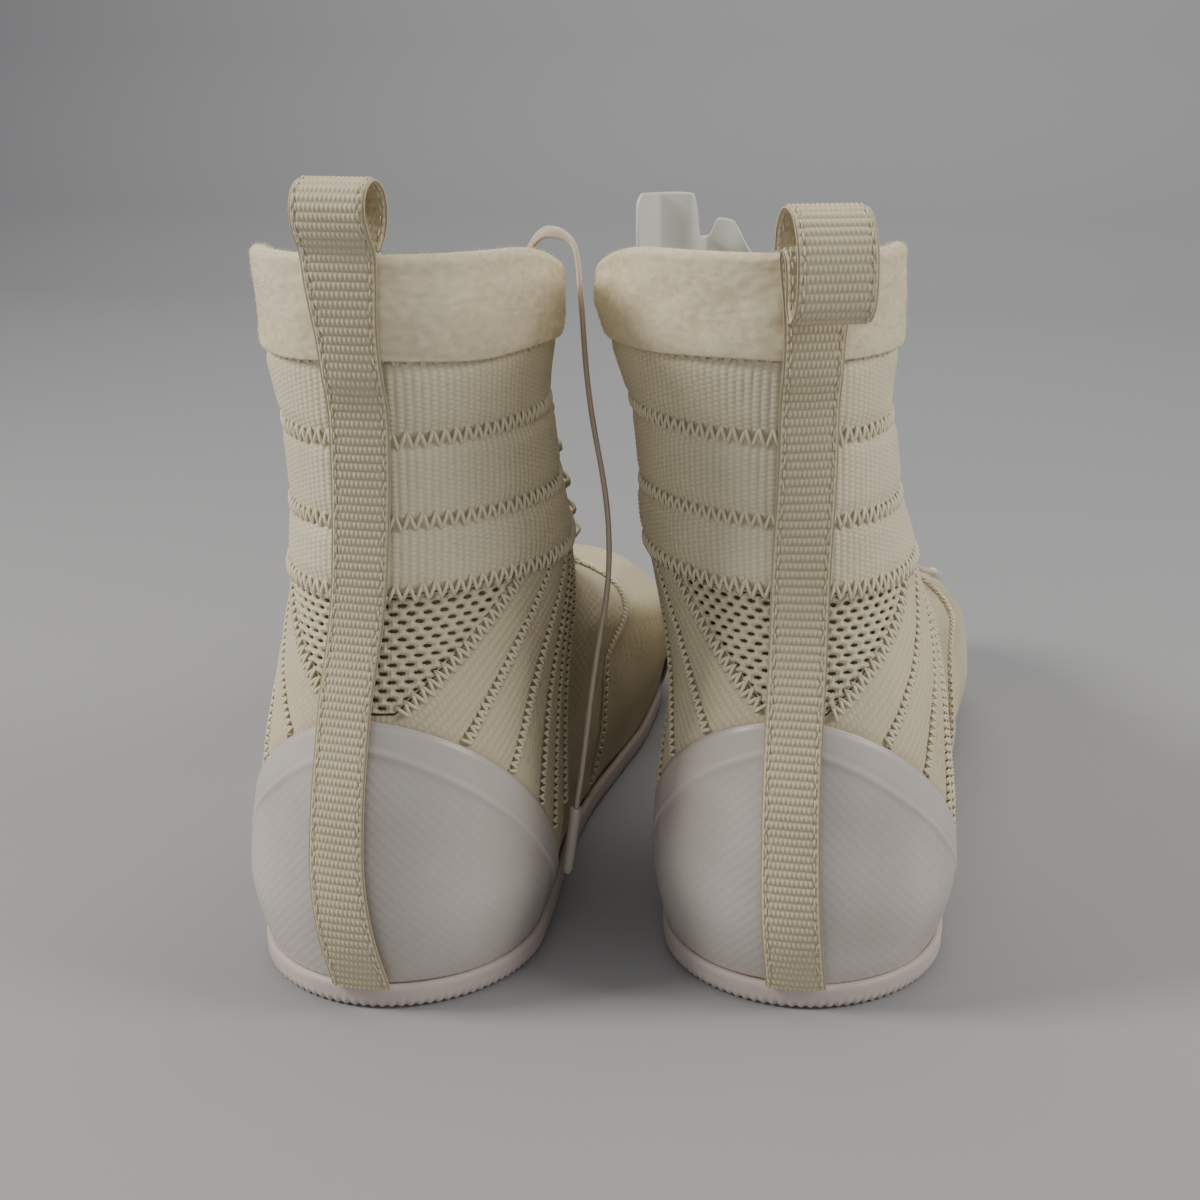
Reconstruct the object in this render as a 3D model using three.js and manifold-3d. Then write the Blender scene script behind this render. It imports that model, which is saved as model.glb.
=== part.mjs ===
// A pair of lace-up boxing boots, standing side by side, in millimetres with +Z up and the toes at +Y.
// Each boot is laid out on one skin: a height above the ground and a distance round the outline at that
// height name a point, and every panel is a sheet between two depths below or above that skin.
import * as THREE from "three";
import Module from "manifold-3d";

const manifold = await Module();
manifold.setup();

// ---- driving dimensions -------------------------------------------------------------------------
const BOOT_LENGTH = 290;            // heel to toe of the upper
const COLLAR_TOP = 187;             // top of the collar at the heel
const COLLAR_DIP = 14;              // how much lower the collar is at the front
const FIT_GAP = 0.3;                // between pieces that meet edge to edge
const LAYER_GAP = 0.6;              // between layers that lie on each other
const HEEL_SPACING = 105.8;         // between the centre lines of the two boots
const HEEL_STAGGER = 21;            // how far the right boot stands ahead of the left one
const TOE_SPRING = 9;               // lift of the toe tip above the ground
const TOE_SPRING_START = 195;       // where the sole starts to curve up

const SKIN = 1.2;                   // knit skin of the upper
const LINING = 1.2;
const LINING_SLACK = 2;             // how far the lining falls away from the skin over the instep
const STIFFENER = 1.2;              // heel stiffener and collar foam share this layer
const COUNTER = 1.0;                // moulded film over the heel and the toe
const BAND = 1.3;                   // woven elastic bands
const COLLAR_THICK = 2.9;
const WEBBING = 1.4;
const TONGUE_THICK = 1.6;
const TONGUE_ABOVE = 8;             // how far the tongue stands above the collar at the heel

const SOLE_FLOOR = 3.0;             // rubber under the foot
const RIM_TOP = 6.2;                // top of the rubber rim
const RIM_WALL = 1.8;
const BOARD = 1.5;
const BOARD_INSET = 2.1;             // from the inside of the skin to the edge of the insole board
const SOCKLINER = 3.5;
const SOCKLINER_INSET = 4.2;         // from the inside of the lining to the edge of the sockliner
const SKIN_BOTTOM = SOLE_FLOOR + 0.4;
const OVERLAY_BOTTOM = RIM_TOP + 0.6; // lower edge of the heel counter and the toe cap
const TOE_CAP_CLEAR = 1.4;           // the toe cap starts this much higher than the counter
const TOE_CAP_RISE = 0.5;            // the toe cap stands a little prouder than the counter
const BOARD_TOP = SOLE_FLOOR + FIT_GAP + BOARD;

const STRAP_WIDTH = 15;
const LOOP_WIDTH = 19;
const OPENING_HALF = 13;            // half of the lace opening
const EYESTAY_WIDTH = 12;
const SEAM_GAP = 1.8;                // extra room along the slanting seam of the vamp
const THROAT = 78;                  // height of the bottom of the lace opening
const COUNTER_TOP = 75;
const GUSSET_BOTTOM = 76.5;
const HEM = 105.5;                  // lower edge of the elastic bands
const GUSSET_REACH = 42;            // how far the mesh reaches round from the heel
const BAND_EDGES = [106, 123.2, 144, 163.6];
const COLLAR_SEAM = 164;

const EDGE_TURN = 1;                // the knit stops this far under the collar's rolled edge
const COLLAR_DIP_START = 0.35;      // share of the way round where the collar starts to dip
const VAMP_SEAM_Y = 128;            // where the vamp seam meets the ground line
const VAMP_SEAM_SLANT = 0.33;       // how far forward it runs for each millimetre of height
const VAMP_SEAM_TURN = 47;          // height where it turns in towards the lace opening
const SEAM_GAP_FADE = 9;            // the extra seam room closes over this height
const SLACK_STARTS = [36, 50];      // heights where the lining's slack comes in
const SLACK_ENDS = [62, 76];        // and where it goes
const TOE_CAP_REACH = 78;           // how far the toe cap reaches round from the toe
const TOE_CAP_TOP = 34;
const COUNTER_REACH = 82;           // how far the heel counter reaches round from the heel
const COUNTER_END = 14;             // its height at its two ends
const COUNTER_ARCH = 1.7;           // power of its arched top edge
const STIFFENER_REACH = 60;
const STIFFENER_TOP = 62;
const STIFFENER_END = 32;
const FOAM_BELOW_SEAM = 6;          // the collar foam reaches this far below the collar seam
const TONGUE_BOTTOM_HALF = 14;
const TONGUE_HALF = 29;
const TONGUE_TOP_HALF = 22;
const LOOP_STRIP = 9;               // width of the strip that carries the lace loops

const LACE_LEVELS = 7;
const LACE_FIRST = 86;              // height of the lowest pair of lace loops
const LACE_LAST = 160;              // height of the highest pair
const LACE_WIDE = 3.0;
const LACE_THICK = 1.8;
const AGLET_LENGTH = 20;
const AGLET_RADIUS = 1.7;

// ---- layers, as depths from the skin's outer face -----------------------------------------------
const skinLayer = [-SKIN, 0];
const under = ([inner], thickness) => [inner - LAYER_GAP - thickness, inner - LAYER_GAP];
const over = ([, outer], thickness) => [outer + LAYER_GAP, outer + LAYER_GAP + thickness];
const stiffenerLayer = under(skinLayer, STIFFENER);
const liningLayer = under(stiffenerLayer, LINING);
const tongueLayer = under([liningLayer[0] - FIT_GAP, 0], TONGUE_THICK);
const counterLayer = over(skinLayer, COUNTER);
const bandLayer = over(skinLayer, BAND);
const collarLayer = over(skinLayer, COLLAR_THICK);
const strapLayer = over(bandLayer, WEBBING);
const strapOverCollar = over(collarLayer, WEBBING)[0] - strapLayer[0];

// ---- curves -------------------------------------------------------------------------------------
/** A smooth curve through stations [at, value] that never overshoots them. */
function through(stations) {
  const at = stations.map((s) => s[0]);
  const value = stations.map((s) => s[1]);
  const last = at.length - 1;
  const slope = at.slice(1).map((x, i) => (value[i + 1] - value[i]) / (x - at[i]));
  const tangent = at.map((_, i) => {
    if (i === 0) return slope[0];
    if (i === last) return slope[last - 1];
    if (slope[i - 1] * slope[i] <= 0) return 0;
    return 2 / (1 / slope[i - 1] + 1 / slope[i]);
  });
  return (x) => {
    if (x <= at[0]) return value[0];
    if (x >= at[last]) return value[last];
    let i = 0;
    while (x > at[i + 1]) i += 1;
    const h = at[i + 1] - at[i];
    const t = (x - at[i]) / h;
    const a = (1 + 2 * t) * (1 - t) ** 2;
    const b = t * (1 - t) ** 2 * h;
    const c = t * t * (3 - 2 * t);
    const d = t * t * (t - 1) * h;
    return a * value[i] + b * tangent[i] + c * value[i + 1] + d * tangent[i + 1];
  };
}

const smooth = (from, to, x) => {
  const t = Math.min(1, Math.max(0, (x - from) / (to - from)));
  return t * t * (3 - 2 * t);
};

// Side view of the upper: where its heel and its front lie at each height.
const heelLine = through([[0, 5], [12, 2], [28, 0], [50, 2], [75, 8], [100, 13], [120, 14], [145, 12.5],
  [170, 10], [COLLAR_TOP, 9], [215, 7]]);
const frontShare = through([[0, 0.975], [8, 0.992], [24, 1], [38, 0.982], [46, 0.945], [53, 0.88],
  [60, 0.79], [68, 0.69], [78, 0.59], [90, 0.51], [105, 0.452], [120, 0.422], [140, 0.403],
  [165, 0.394], [COLLAR_TOP, 0.39], [215, 0.4]]);
const frontLine = (z) => BOOT_LENGTH * frontShare(z);
// Half width over the heel at each height, and how it changes along the boot.
const halfWidth = through([[0, 33.4], [12, 37.2], [28, 39.7], [50, 38.5], [75, 36], [100, 33], [125, 31],
  [145, 31.5], [165, 34.5], [COLLAR_TOP, 36.5], [215, 38]]);
const widthShare = through([[0, 1], [0.2, 1], [0.34, 0.97], [0.45, 0.99], [0.58, 1.09], [0.7, 1.18],
  [0.83, 1.19], [1, 1.1]]);
const centreShift = through([[0, 0], [0.35, 0], [0.6, 2.5], [0.8, 4.5], [1, 8]]);
const heelRound = through([[0, 40], [60, 42], [110, 48], [215, 50]]);
const frontRound = through([[0, 60], [40, 66], [52, 84], [62, 92], [78, 84], [92, 74], [108, 66], [125, 60],
  [145, 56], [215, 54]]);

const rounded = (distance, reach) => {
  if (distance >= reach) return 1;
  const t = 1 - Math.max(0, distance) / reach;
  return Math.sqrt(1 - t * t);
};

/** The collar's top edge at a distance round from the heel. */
const collarTop = (share) => COLLAR_TOP - COLLAR_DIP * smooth(COLLAR_DIP_START, 1, share);

// ---- the skin -----------------------------------------------------------------------------------
const OUTLINE_STEPS = 72;
const outlines = new Map();

/** Half of the outline at a height, from the heel to the front: side 1 is the inner (medial) side. */
function outline(z, side) {
  const key = `${z.toFixed(4)}/${side}`;
  if (outlines.has(key)) return outlines.get(key);
  const heel = heelLine(z);
  const front = frontLine(z);
  const points = [];
  const reach = [0];
  for (let i = 0; i <= OUTLINE_STEPS; i += 1) {
    const y = heel + (front - heel) * (1 - Math.cos((Math.PI * i) / OUTLINE_STEPS)) / 2;
    const along = y / BOOT_LENGTH;
    const half = halfWidth(z) * widthShare(along) * rounded(y - heel, heelRound(z))
      * rounded(front - y, frontRound(z));
    points.push([side * half + centreShift(along), y]);
    if (i > 0) {
      reach.push(reach[i - 1] + Math.hypot(points[i][0] - points[i - 1][0], y - points[i - 1][1]));
    }
  }
  const found = { points, reach, half: reach[OUTLINE_STEPS] };
  outlines.set(key, found);
  return found;
}

/** Distance round the outline from the heel to where it passes a given y. */
function roundTo(z, side, y) {
  const { points, reach } = outline(z, side);
  let i = 0;
  while (i < OUTLINE_STEPS - 1 && points[i + 1][1] < y) i += 1;
  const t = Math.min(1, Math.max(0, (y - points[i][1]) / (points[i + 1][1] - points[i][1])));
  return reach[i] + t * (reach[i + 1] - reach[i]);
}

/** A point of the skin: height, and signed distance round from the heel (inner side positive). */
function skinPoint(z, round) {
  const side = round < 0 ? -1 : 1;
  const { points, reach, half } = outline(z, side);
  const wanted = Math.min(Math.abs(round), half);
  let i = 0;
  while (i < OUTLINE_STEPS - 1 && reach[i + 1] < wanted) i += 1;
  const t = (wanted - reach[i]) / (reach[i + 1] - reach[i]);
  const x = points[i][0] + t * (points[i + 1][0] - points[i][0]);
  const y = points[i][1] + t * (points[i + 1][1] - points[i][1]);
  return new THREE.Vector3(x, y, z);
}

/** Turns a signed distance from the front centre line into a distance round from the heel. */
const fromFront = (z, across) => {
  const side = across < 0 ? -1 : 1;
  return side * (outline(z, side).half - Math.abs(across));
};

/** A point at a distance off the skin, along its normal. */
function offSkin(z, round, off) {
  const step = 1.5;
  const side = round < 0 ? -1 : 1;
  const half = outline(z, side).half;
  const here = Math.min(Math.abs(round), half);
  const ahead = skinPoint(z, side * Math.min(here + step, half));
  const behind = here < step ? skinPoint(z, -side * (step - here)) : skinPoint(z, side * (here - step));
  const roundWay = here + step > half
    ? skinPoint(z, -side * (2 * half - here - step)).sub(behind)
    : ahead.sub(behind);
  const share = here / half;
  const higher = skinPoint(z + step, side * share * outline(z + step, side).half);
  const lower = skinPoint(z - step, side * share * outline(z - step, side).half);
  const normal = roundWay.cross(higher.sub(lower)).multiplyScalar(side).normalize();
  return skinPoint(z, round).addScaledVector(normal, off);
}

// ---- mesh builders ------------------------------------------------------------------------------
/** A closed mesh from points and triangles, with its faces turned outward. */
function solid(points, faces) {
  let volume = 0;
  const cross = new THREE.Vector3();
  faces.forEach(([a, b, c]) => {
    volume += points[a].dot(cross.crossVectors(points[b], points[c]));
  });
  const turned = volume < 0 ? faces.map(([a, b, c]) => [a, c, b]) : faces;
  const geometry = new THREE.BufferGeometry();
  const numbers = points.flatMap((p) => [p.x, p.y, p.z]);
  geometry.setAttribute("position", new THREE.Float32BufferAttribute(numbers, 3));
  geometry.setIndex(turned.flat());
  return geometry;
}

/** Joins overlapping closed meshes into one body. */
function joined(geometries) {
  const bodies = geometries.map((geometry) => new manifold.Manifold(new manifold.Mesh({
    numProp: 3,
    vertProperties: new Float32Array(geometry.attributes.position.array),
    triVerts: new Uint32Array(geometry.index.array),
  })));
  const mesh = bodies.reduce((whole, body) => whole.add(body)).getMesh();
  const geometry = new THREE.BufferGeometry();
  geometry.setAttribute("position", new THREE.Float32BufferAttribute(mesh.vertProperties, 3));
  geometry.setIndex(Array.from(mesh.triVerts));
  return geometry;
}

/** A sheet between two depths: at(u, v) gives [height, round], or a third value added to the depth. */
function sheet(columns, rows, at, [inner, outer]) {
  const points = [];
  for (let layer = 0; layer < 2; layer += 1) {
    for (let j = 0; j <= rows; j += 1) {
      for (let i = 0; i <= columns; i += 1) {
        const [z, round, lift = 0] = at(i / columns, j / rows);
        points.push(offSkin(z, round, (layer === 0 ? inner : outer) + lift));
      }
    }
  }
  const wide = columns + 1;
  const size = wide * (rows + 1);
  const faces = [];
  const quad = (a, b, c, d) => faces.push([a, b, c], [a, c, d]);
  for (let j = 0; j < rows; j += 1) {
    for (let i = 0; i < columns; i += 1) {
      const a = j * wide + i;
      quad(a, a + wide, a + wide + 1, a + 1);
      quad(size + a, size + a + 1, size + a + wide + 1, size + a + wide);
    }
  }
  const edge = [];
  for (let i = 0; i < columns; i += 1) edge.push(i);
  for (let j = 0; j < rows; j += 1) edge.push(j * wide + columns);
  for (let i = columns; i > 0; i -= 1) edge.push(rows * wide + i);
  for (let j = rows; j > 0; j -= 1) edge.push(j * wide);
  edge.forEach((a, i) => {
    const b = edge[(i + 1) % edge.length];
    quad(a, b, size + b, size + a);
  });
  return solid(points, faces);
}

/** A flat-bottomed plate or cup under the foot, from rings of [distance off the skin, height]. */
function plate(steps, height, rings) {
  const points = [];
  const ringSize = 2 * steps;
  rings.forEach(([off, z]) => {
    for (let i = 0; i < ringSize; i += 1) {
      const side = i <= steps ? 1 : -1;
      const share = (i <= steps ? i : ringSize - i) / steps;
      const eased = (1 - Math.cos(Math.PI * share)) / 4 + share / 2;
      const round = side * eased * outline(height, side).half;
      const point = skinPoint(height, round);
      const out = offSkin(height, round, 1).sub(point);
      out.z = 0;
      point.addScaledVector(out.normalize(), off);
      point.z = z;
      points.push(point);
    }
  });
  const faces = [];
  const quad = (a, b, c, d) => faces.push([a, b, c], [a, c, d]);
  for (let r = 0; r + 1 < rings.length; r += 1) {
    for (let i = 0; i < ringSize; i += 1) {
      const next = (i + 1) % ringSize;
      quad(r * ringSize + i, r * ringSize + next, (r + 1) * ringSize + next, (r + 1) * ringSize + i);
    }
  }
  const cap = (start, turn) => {
    for (let i = 0; i < steps; i += 1) {
      const a = start + i;
      const b = start + i + 1;
      const c = start + ((ringSize - i - 1) % ringSize);
      const d = start + ((ringSize - i) % ringSize);
      const corners = [a, b, c, d].filter((corner, k, all) => all.indexOf(corner) === k);
      if (turn) corners.reverse();
      for (let k = 1; k + 1 < corners.length; k += 1) faces.push([corners[0], corners[k], corners[k + 1]]);
    }
  };
  cap(0, true);
  cap((rings.length - 1) * ringSize, false);
  return solid(points, faces);
}

/** A tube with an oval section along points, each with the direction that its thickness takes. */
function cord(route, wide, thick, sides = 8) {
  const points = [];
  route.forEach(({ at, up }, i) => {
    const before = route[Math.max(0, i - 1)].at;
    const after = route[Math.min(route.length - 1, i + 1)].at;
    const along = after.clone().sub(before).normalize();
    const across = along.clone().cross(up).normalize();
    const thickWay = across.clone().cross(along).normalize();
    for (let k = 0; k < sides; k += 1) {
      const angle = (2 * Math.PI * (k + 0.5)) / sides;
      points.push(at.clone().addScaledVector(across, Math.cos(angle) * wide / 2)
        .addScaledVector(thickWay, Math.sin(angle) * thick / 2));
    }
  });
  const faces = [];
  for (let i = 0; i + 1 < route.length; i += 1) {
    for (let k = 0; k < sides; k += 1) {
      const a = i * sides + k;
      const b = i * sides + ((k + 1) % sides);
      faces.push([a, b, b + sides], [a, b + sides, a + sides]);
    }
  }
  const end = (route.length - 1) * sides;
  for (let k = 1; k + 1 < sides; k += 1) {
    faces.push([0, k + 1, k], [end, end + k, end + k + 1]);
  }
  return solid(points, faces);
}

// Shared columns and rows keep the facets of neighbouring layers parallel.
const HEEL_COLUMNS = [0, 8, 16, 24, 32, 41, 50, 60, 72];
const UPPER_ROWS = [SKIN_BOTTOM, 15, 28, 40, 47, 54, 61, 69, THROAT - FIT_GAP, 90, HEM];
const LOW_ROWS = UPPER_ROWS.filter((z) => z < THROAT);
const SHAFT_ROWS = [0, 0.2, 0.4, 0.6, 0.8, 1];
const SHAFT_FRONT = COLLAR_TOP - COLLAR_DIP - EDGE_TURN;
const STAY_ROWS = [70, THROAT - FIT_GAP, 90, ...SHAFT_ROWS.map((t) => HEM + (SHAFT_FRONT - HEM) * t)];

/** Picks a value from a list of evenly numbered stations at a share of the way along it. */
function along(stations, share) {
  const counted = share * (stations.length - 1);
  const i = Math.min(stations.length - 2, Math.floor(counted));
  return stations[i] + (counted - i) * (stations[i + 1] - stations[i]);
}

/** Distances round from the heel: the heel columns, then steps that shorten towards the end. */
function columnsTo(end, from, extra) {
  const near = HEEL_COLUMNS.filter((x) => x > from && x < end - 4);
  const last = near.length > 0 ? near[near.length - 1] : from;
  const far = Array.from({ length: extra }, (_, i) => last
    + (end - last) * Math.sin((Math.PI / 2) * ((i + 1) / extra)));
  return [from, ...near, ...far];
}

/** The same columns on both sides of the heel, counted from the lateral end to the medial one. */
const bothWays = (half) => [...half.slice(1).map((x) => -x).reverse(), ...half];

// ---- the pieces of one boot, laid out with the inner (medial) side at +X -------------------------
const sideName = { 1: "medial", "-1": "lateral" };

/** Where the seam between vamp and quarter lies, as a distance from the front centre line. */
function vampSeam(z, side) {
  const seamY = VAMP_SEAM_Y + VAMP_SEAM_SLANT * z;
  const spread = outline(z, side).half - roundTo(z, side, seamY);
  return OPENING_HALF + (spread - OPENING_HALF) * (1 - smooth(VAMP_SEAM_TURN, THROAT, z));
}

/** Front edge of the quarters and of everything that ends at the lace opening. */
const quarterFront = (z, side) => outline(z, side).half - FIT_GAP - (z < THROAT
  ? vampSeam(z, side) + SEAM_GAP * (1 - smooth(THROAT - SEAM_GAP_FADE, THROAT, z)) : OPENING_HALF);

/** Height of the quarter's top edge: a diagonal under the mesh gusset, then level at the hem. */
const quarterTop = (round) => GUSSET_BOTTOM
  + (HEM - GUSSET_BOTTOM) * Math.min(1, Math.max(0, (Math.abs(round) - STRAP_WIDTH / 2)
  / (GUSSET_REACH - STRAP_WIDTH / 2)));

function outsole() {
  const inside = 2 * FIT_GAP;
  return plate(24, RIM_TOP, [[inside + RIM_WALL, 0], [inside + RIM_WALL, RIM_TOP], [inside, RIM_TOP],
    [inside, SOLE_FLOOR]]);
}

const insoleBoard = () => plate(18, SKIN_BOTTOM, [[-SKIN - BOARD_INSET, SOLE_FLOOR + FIT_GAP],
  [-SKIN - BOARD_INSET, BOARD_TOP]]);

const sockliner = () => plate(18, BOARD_TOP + 2, [[liningLayer[0] - SOCKLINER_INSET, BOARD_TOP + FIT_GAP],
  [liningLayer[0] - SOCKLINER_INSET, BOARD_TOP + FIT_GAP + SOCKLINER]]);

function lining() {
  const bottom = BOARD_TOP + FIT_GAP;
  const rows = [bottom, ...UPPER_ROWS.slice(1), 125, 145, 165, COLLAR_TOP - EDGE_TURN];
  const slack = (z) => -LINING_SLACK * smooth(...SLACK_STARTS, z) * (1 - smooth(...SLACK_ENDS, z));
  const frontGap = (z) => FIT_GAP / 2 + (OPENING_HALF + 1) * smooth(THROAT - 6, THROAT + 8, z);
  const half = 16;
  return sheet(2 * half, rows.length - 1, (u, v) => {
    const side = u < 0.5 ? -1 : 1;
    const column = Math.abs(2 * u - 1);
    const level = along(rows, v);
    const dip = (COLLAR_TOP - collarTop(column)) * smooth(HEM, COLLAR_TOP, level);
    const z = level - dip;
    const end = outline(z, side).half - frontGap(z);
    return [z, side * along(columnsTo(end, 0, half - HEEL_COLUMNS.length + 1), column), slack(z)];
  }, liningLayer);
}

function vamp() {
  return sheet(16, LOW_ROWS.length - 1, (u, v) => {
    const z = along(LOW_ROWS, v);
    const side = u < 0.5 ? -1 : 1;
    return [z, fromFront(z, (2 * u - 1) * vampSeam(z, side))];
  }, skinLayer);
}

function toeCap() {
  return sheet(12, 3, (u, v) => {
    const across = (2 * u - 1) * TOE_CAP_REACH;
    const crown = TOE_CAP_TOP * (1 - 0.5 * (2 * u - 1) ** 2);
    const bottom = OVERLAY_BOTTOM + TOE_CAP_CLEAR;
    return [bottom + (crown - bottom) * v, fromFront(crown, across), TOE_CAP_RISE];
  }, counterLayer);
}

function quarter(side) {
  const extra = 5;
  const count = HEEL_COLUMNS.length - 1 + extra;
  return sheet(count, UPPER_ROWS.length - 1, (u, v) => {
    const front = along(UPPER_ROWS, v);
    const columns = columnsTo(quarterFront(front, side), FIT_GAP / 2, extra);
    const round = along(columns, u);
    const share = (front - SKIN_BOTTOM) / (HEM - SKIN_BOTTOM);
    const z = SKIN_BOTTOM + (quarterTop(round) - FIT_GAP - SKIN_BOTTOM) * share;
    return [z, side * round];
  }, skinLayer);
}

function gusset(side) {
  const from = STRAP_WIDTH / 2 - 2;
  const to = GUSSET_REACH - 1.5;
  const columns = columnsTo(to, from, 1);
  return sheet(columns.length - 1, 1, (u, v) => {
    const round = along(columns, u);
    const low = quarterTop(round) + FIT_GAP;
    return [low + (HEM - FIT_GAP - low) * v, side * round];
  }, skinLayer);
}

/** A sheet that runs round the heel from one edge of the lace opening to the other. */
function roundTheBack(rows, low, high, layer, frontInset, extra = 4) {
  const half = HEEL_COLUMNS.length - 1 + extra;
  return sheet(2 * half, rows, (u, v) => {
    const side = u < 0.5 ? -1 : 1;
    const column = Math.abs(2 * u - 1);
    const z = low + (high(column) - low) * v;
    const end = outline(z, side).half - frontInset;
    return [z, side * along(columnsTo(end, 0, extra), column)];
  }, layer);
}

const shaft = () => roundTheBack(5, HEM, (share) => collarTop(share) - EDGE_TURN, skinLayer,
  OPENING_HALF + FIT_GAP);

const stayEdge = OPENING_HALF + EYESTAY_WIDTH + 1;

const ankleBand = (index) => roundTheBack(1, BAND_EDGES[index], () => BAND_EDGES[index + 1] - FIT_GAP,
  bandLayer, stayEdge);

const collar = () => roundTheBack(2, COLLAR_SEAM, collarTop, collarLayer, stayEdge);

const collarFoam = () => roundTheBack(1, COLLAR_SEAM - FOAM_BELOW_SEAM,
  (share) => collarTop(share) - 1.5 * EDGE_TURN, stiffenerLayer, stayEdge + 4);

function counter() {
  const columns = bothWays(columnsTo(COUNTER_REACH, 0, 1));
  return sheet(columns.length - 1, 5, (u, v) => {
    const round = along(columns, u);
    const share = Math.abs(round / COUNTER_REACH);
    const crown = COUNTER_TOP - (COUNTER_TOP - COUNTER_END) * share ** COUNTER_ARCH;
    return [OVERLAY_BOTTOM + (crown - OVERLAY_BOTTOM) * v, round];
  }, counterLayer);
}

function stiffener() {
  const bottom = BOARD_TOP + FIT_GAP;
  const columns = bothWays(columnsTo(STIFFENER_REACH, 0, 1));
  return sheet(columns.length - 1, 5, (u, v) => {
    const round = along(columns, u);
    const share = round / STIFFENER_REACH;
    const crown = STIFFENER_TOP - (STIFFENER_TOP - STIFFENER_END) * share ** 2;
    return [bottom + (crown - bottom) * v, round];
  }, stiffenerLayer);
}

function eyestay(side) {
  return sheet(2, STAY_ROWS.length - 1, (u, v) => {
    const z = along(STAY_ROWS, v);
    return [z, fromFront(z, side * (OPENING_HALF + FIT_GAP + EYESTAY_WIDTH * u))];
  }, counterLayer);
}

const strapLift = (z) => strapOverCollar * smooth(COLLAR_SEAM - 12, COLLAR_SEAM - 3, z);

function heelStrap() {
  const rows = [RIM_TOP + 1, 20, 35, 50, 64, 77, 92, HEM, 120, 134, 147, 155, COLLAR_SEAM - 1.5, 170, 178,
    COLLAR_TOP - EDGE_TURN];
  return sheet(2, rows.length - 1, (u, v) => {
    const z = along(rows, v);
    return [z, (u - 0.5) * STRAP_WIDTH, strapLift(z)];
  }, strapLayer);
}

function tongue() {
  const low = THROAT + 4;
  const high = COLLAR_TOP + TONGUE_ABOVE;
  return sheet(6, 9, (u, v) => {
    const z = low + (high - low) * v;
    const half = TONGUE_BOTTOM_HALF + (TONGUE_HALF - TONGUE_BOTTOM_HALF) * smooth(low, low + 45, z)
      - (TONGUE_HALF - TONGUE_TOP_HALF) * smooth(COLLAR_TOP - 6, high, z);
    return [z, fromFront(z, (2 * u - 1) * half)];
  }, tongueLayer);
}

// ---- lace and its loops --------------------------------------------------------------------------
const LOOP_ACROSS = 17;              // from the front centre line to the lace inside a loop
const LOOP_HOLE = [12, 4.8];
const LOOP_BAND = 1.0;
const LACE_PULL = 1.2;               // how far the crossings draw it inward beside the loop
const LACE_OVER = 3.4;               // rise of the upper strand where the two cross
const LACE_UNDER = 0.7;
const LACE_TURN = 2.9;               // half of the lace's straight run through a loop
const LOOP_LENGTH = 2.6;
const loopBase = counterLayer[1] + LAYER_GAP + FIT_GAP;
const loopRise = loopBase + LOOP_BAND + LOOP_HOLE[1] / 2;
const levelHeight = (level) => LACE_FIRST + ((LACE_LAST - LACE_FIRST) * level) / (LACE_LEVELS - 1);

/** A place over the lace opening, with the directions across it, up it and out of it. */
function place(z, across, rise) {
  const at = offSkin(z, fromFront(z, across), rise);
  const out = at.clone().sub(offSkin(z, fromFront(z, across), rise - 1)).normalize();
  const up = offSkin(z + 1, fromFront(z + 1, across), rise).sub(at);
  const slope = up.length();
  up.normalize();
  return { at, out, up, slope, across: up.clone().cross(out).normalize() };
}

function laceLoop(level, side) {
  const spot = place(levelHeight(level), side * LOOP_ACROSS, loopRise);
  const points = [];
  const faces = [];
  const [wide, deep] = LOOP_HOLE;
  for (let end = 0; end < 2; end += 1) {
    for (let ring = 0; ring < 2; ring += 1) {
      const halfWide = wide / 2 + ring * LOOP_BAND;
      const halfDeep = deep / 2 + ring * LOOP_BAND;
      [[1, 1], [-1, 1], [-1, -1], [1, -1]].forEach(([a, b]) => {
        points.push(spot.at.clone().addScaledVector(spot.across, a * halfWide)
          .addScaledVector(spot.out, b * halfDeep).addScaledVector(spot.up, (end - 0.5) * LOOP_LENGTH));
      });
    }
  }
  const quad = (a, b, c, d) => faces.push([a, b, c], [a, c, d]);
  for (let k = 0; k < 4; k += 1) {
    const n = (k + 1) % 4;
    quad(k, n, 4 + n, 4 + k);
    quad(8 + k, 12 + k, 12 + n, 8 + n);
    quad(4 + k, 4 + n, 12 + n, 12 + k);
    quad(k, 8 + k, 8 + n, n);
  }
  return solid(points, faces);
}

/** One side's lace loops, on the strip that they are woven into. */
function laceLoops(side) {
  const base = loopBase;
  const ends = [LACE_FIRST - 3, LACE_LAST + 3];
  const rows = [ends[0], ...STAY_ROWS.filter((z) => z > ends[0] && z < ends[1]), ends[1]];
  const strip = sheet(1, rows.length - 1, (u, v) => {
    const z = along(rows, v);
    return [z, fromFront(z, side * (OPENING_HALF + 1 + LOOP_STRIP * u))];
  }, [base, base + LOOP_BAND]);
  const loops = [];
  for (let level = 0; level < LACE_LEVELS; level += 1) loops.push(laceLoop(level, side));
  return joined([strip, ...loops]);
}

const LAST_SIDE = LACE_LEVELS % 2 === 0 ? -1 : 1; // side on which the strand from side 1 ends

/** The place on the front centre line that lies straight out from a point inside the boot. */
function ridgeAbove(point, guess, rise) {
  let z = guess;
  for (let i = 0; i < 4; i += 1) {
    const spot = place(z, 0, rise);
    z -= spot.at.clone().sub(point).dot(spot.up) / spot.slope;
  }
  return place(z, 0, rise);
}

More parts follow.
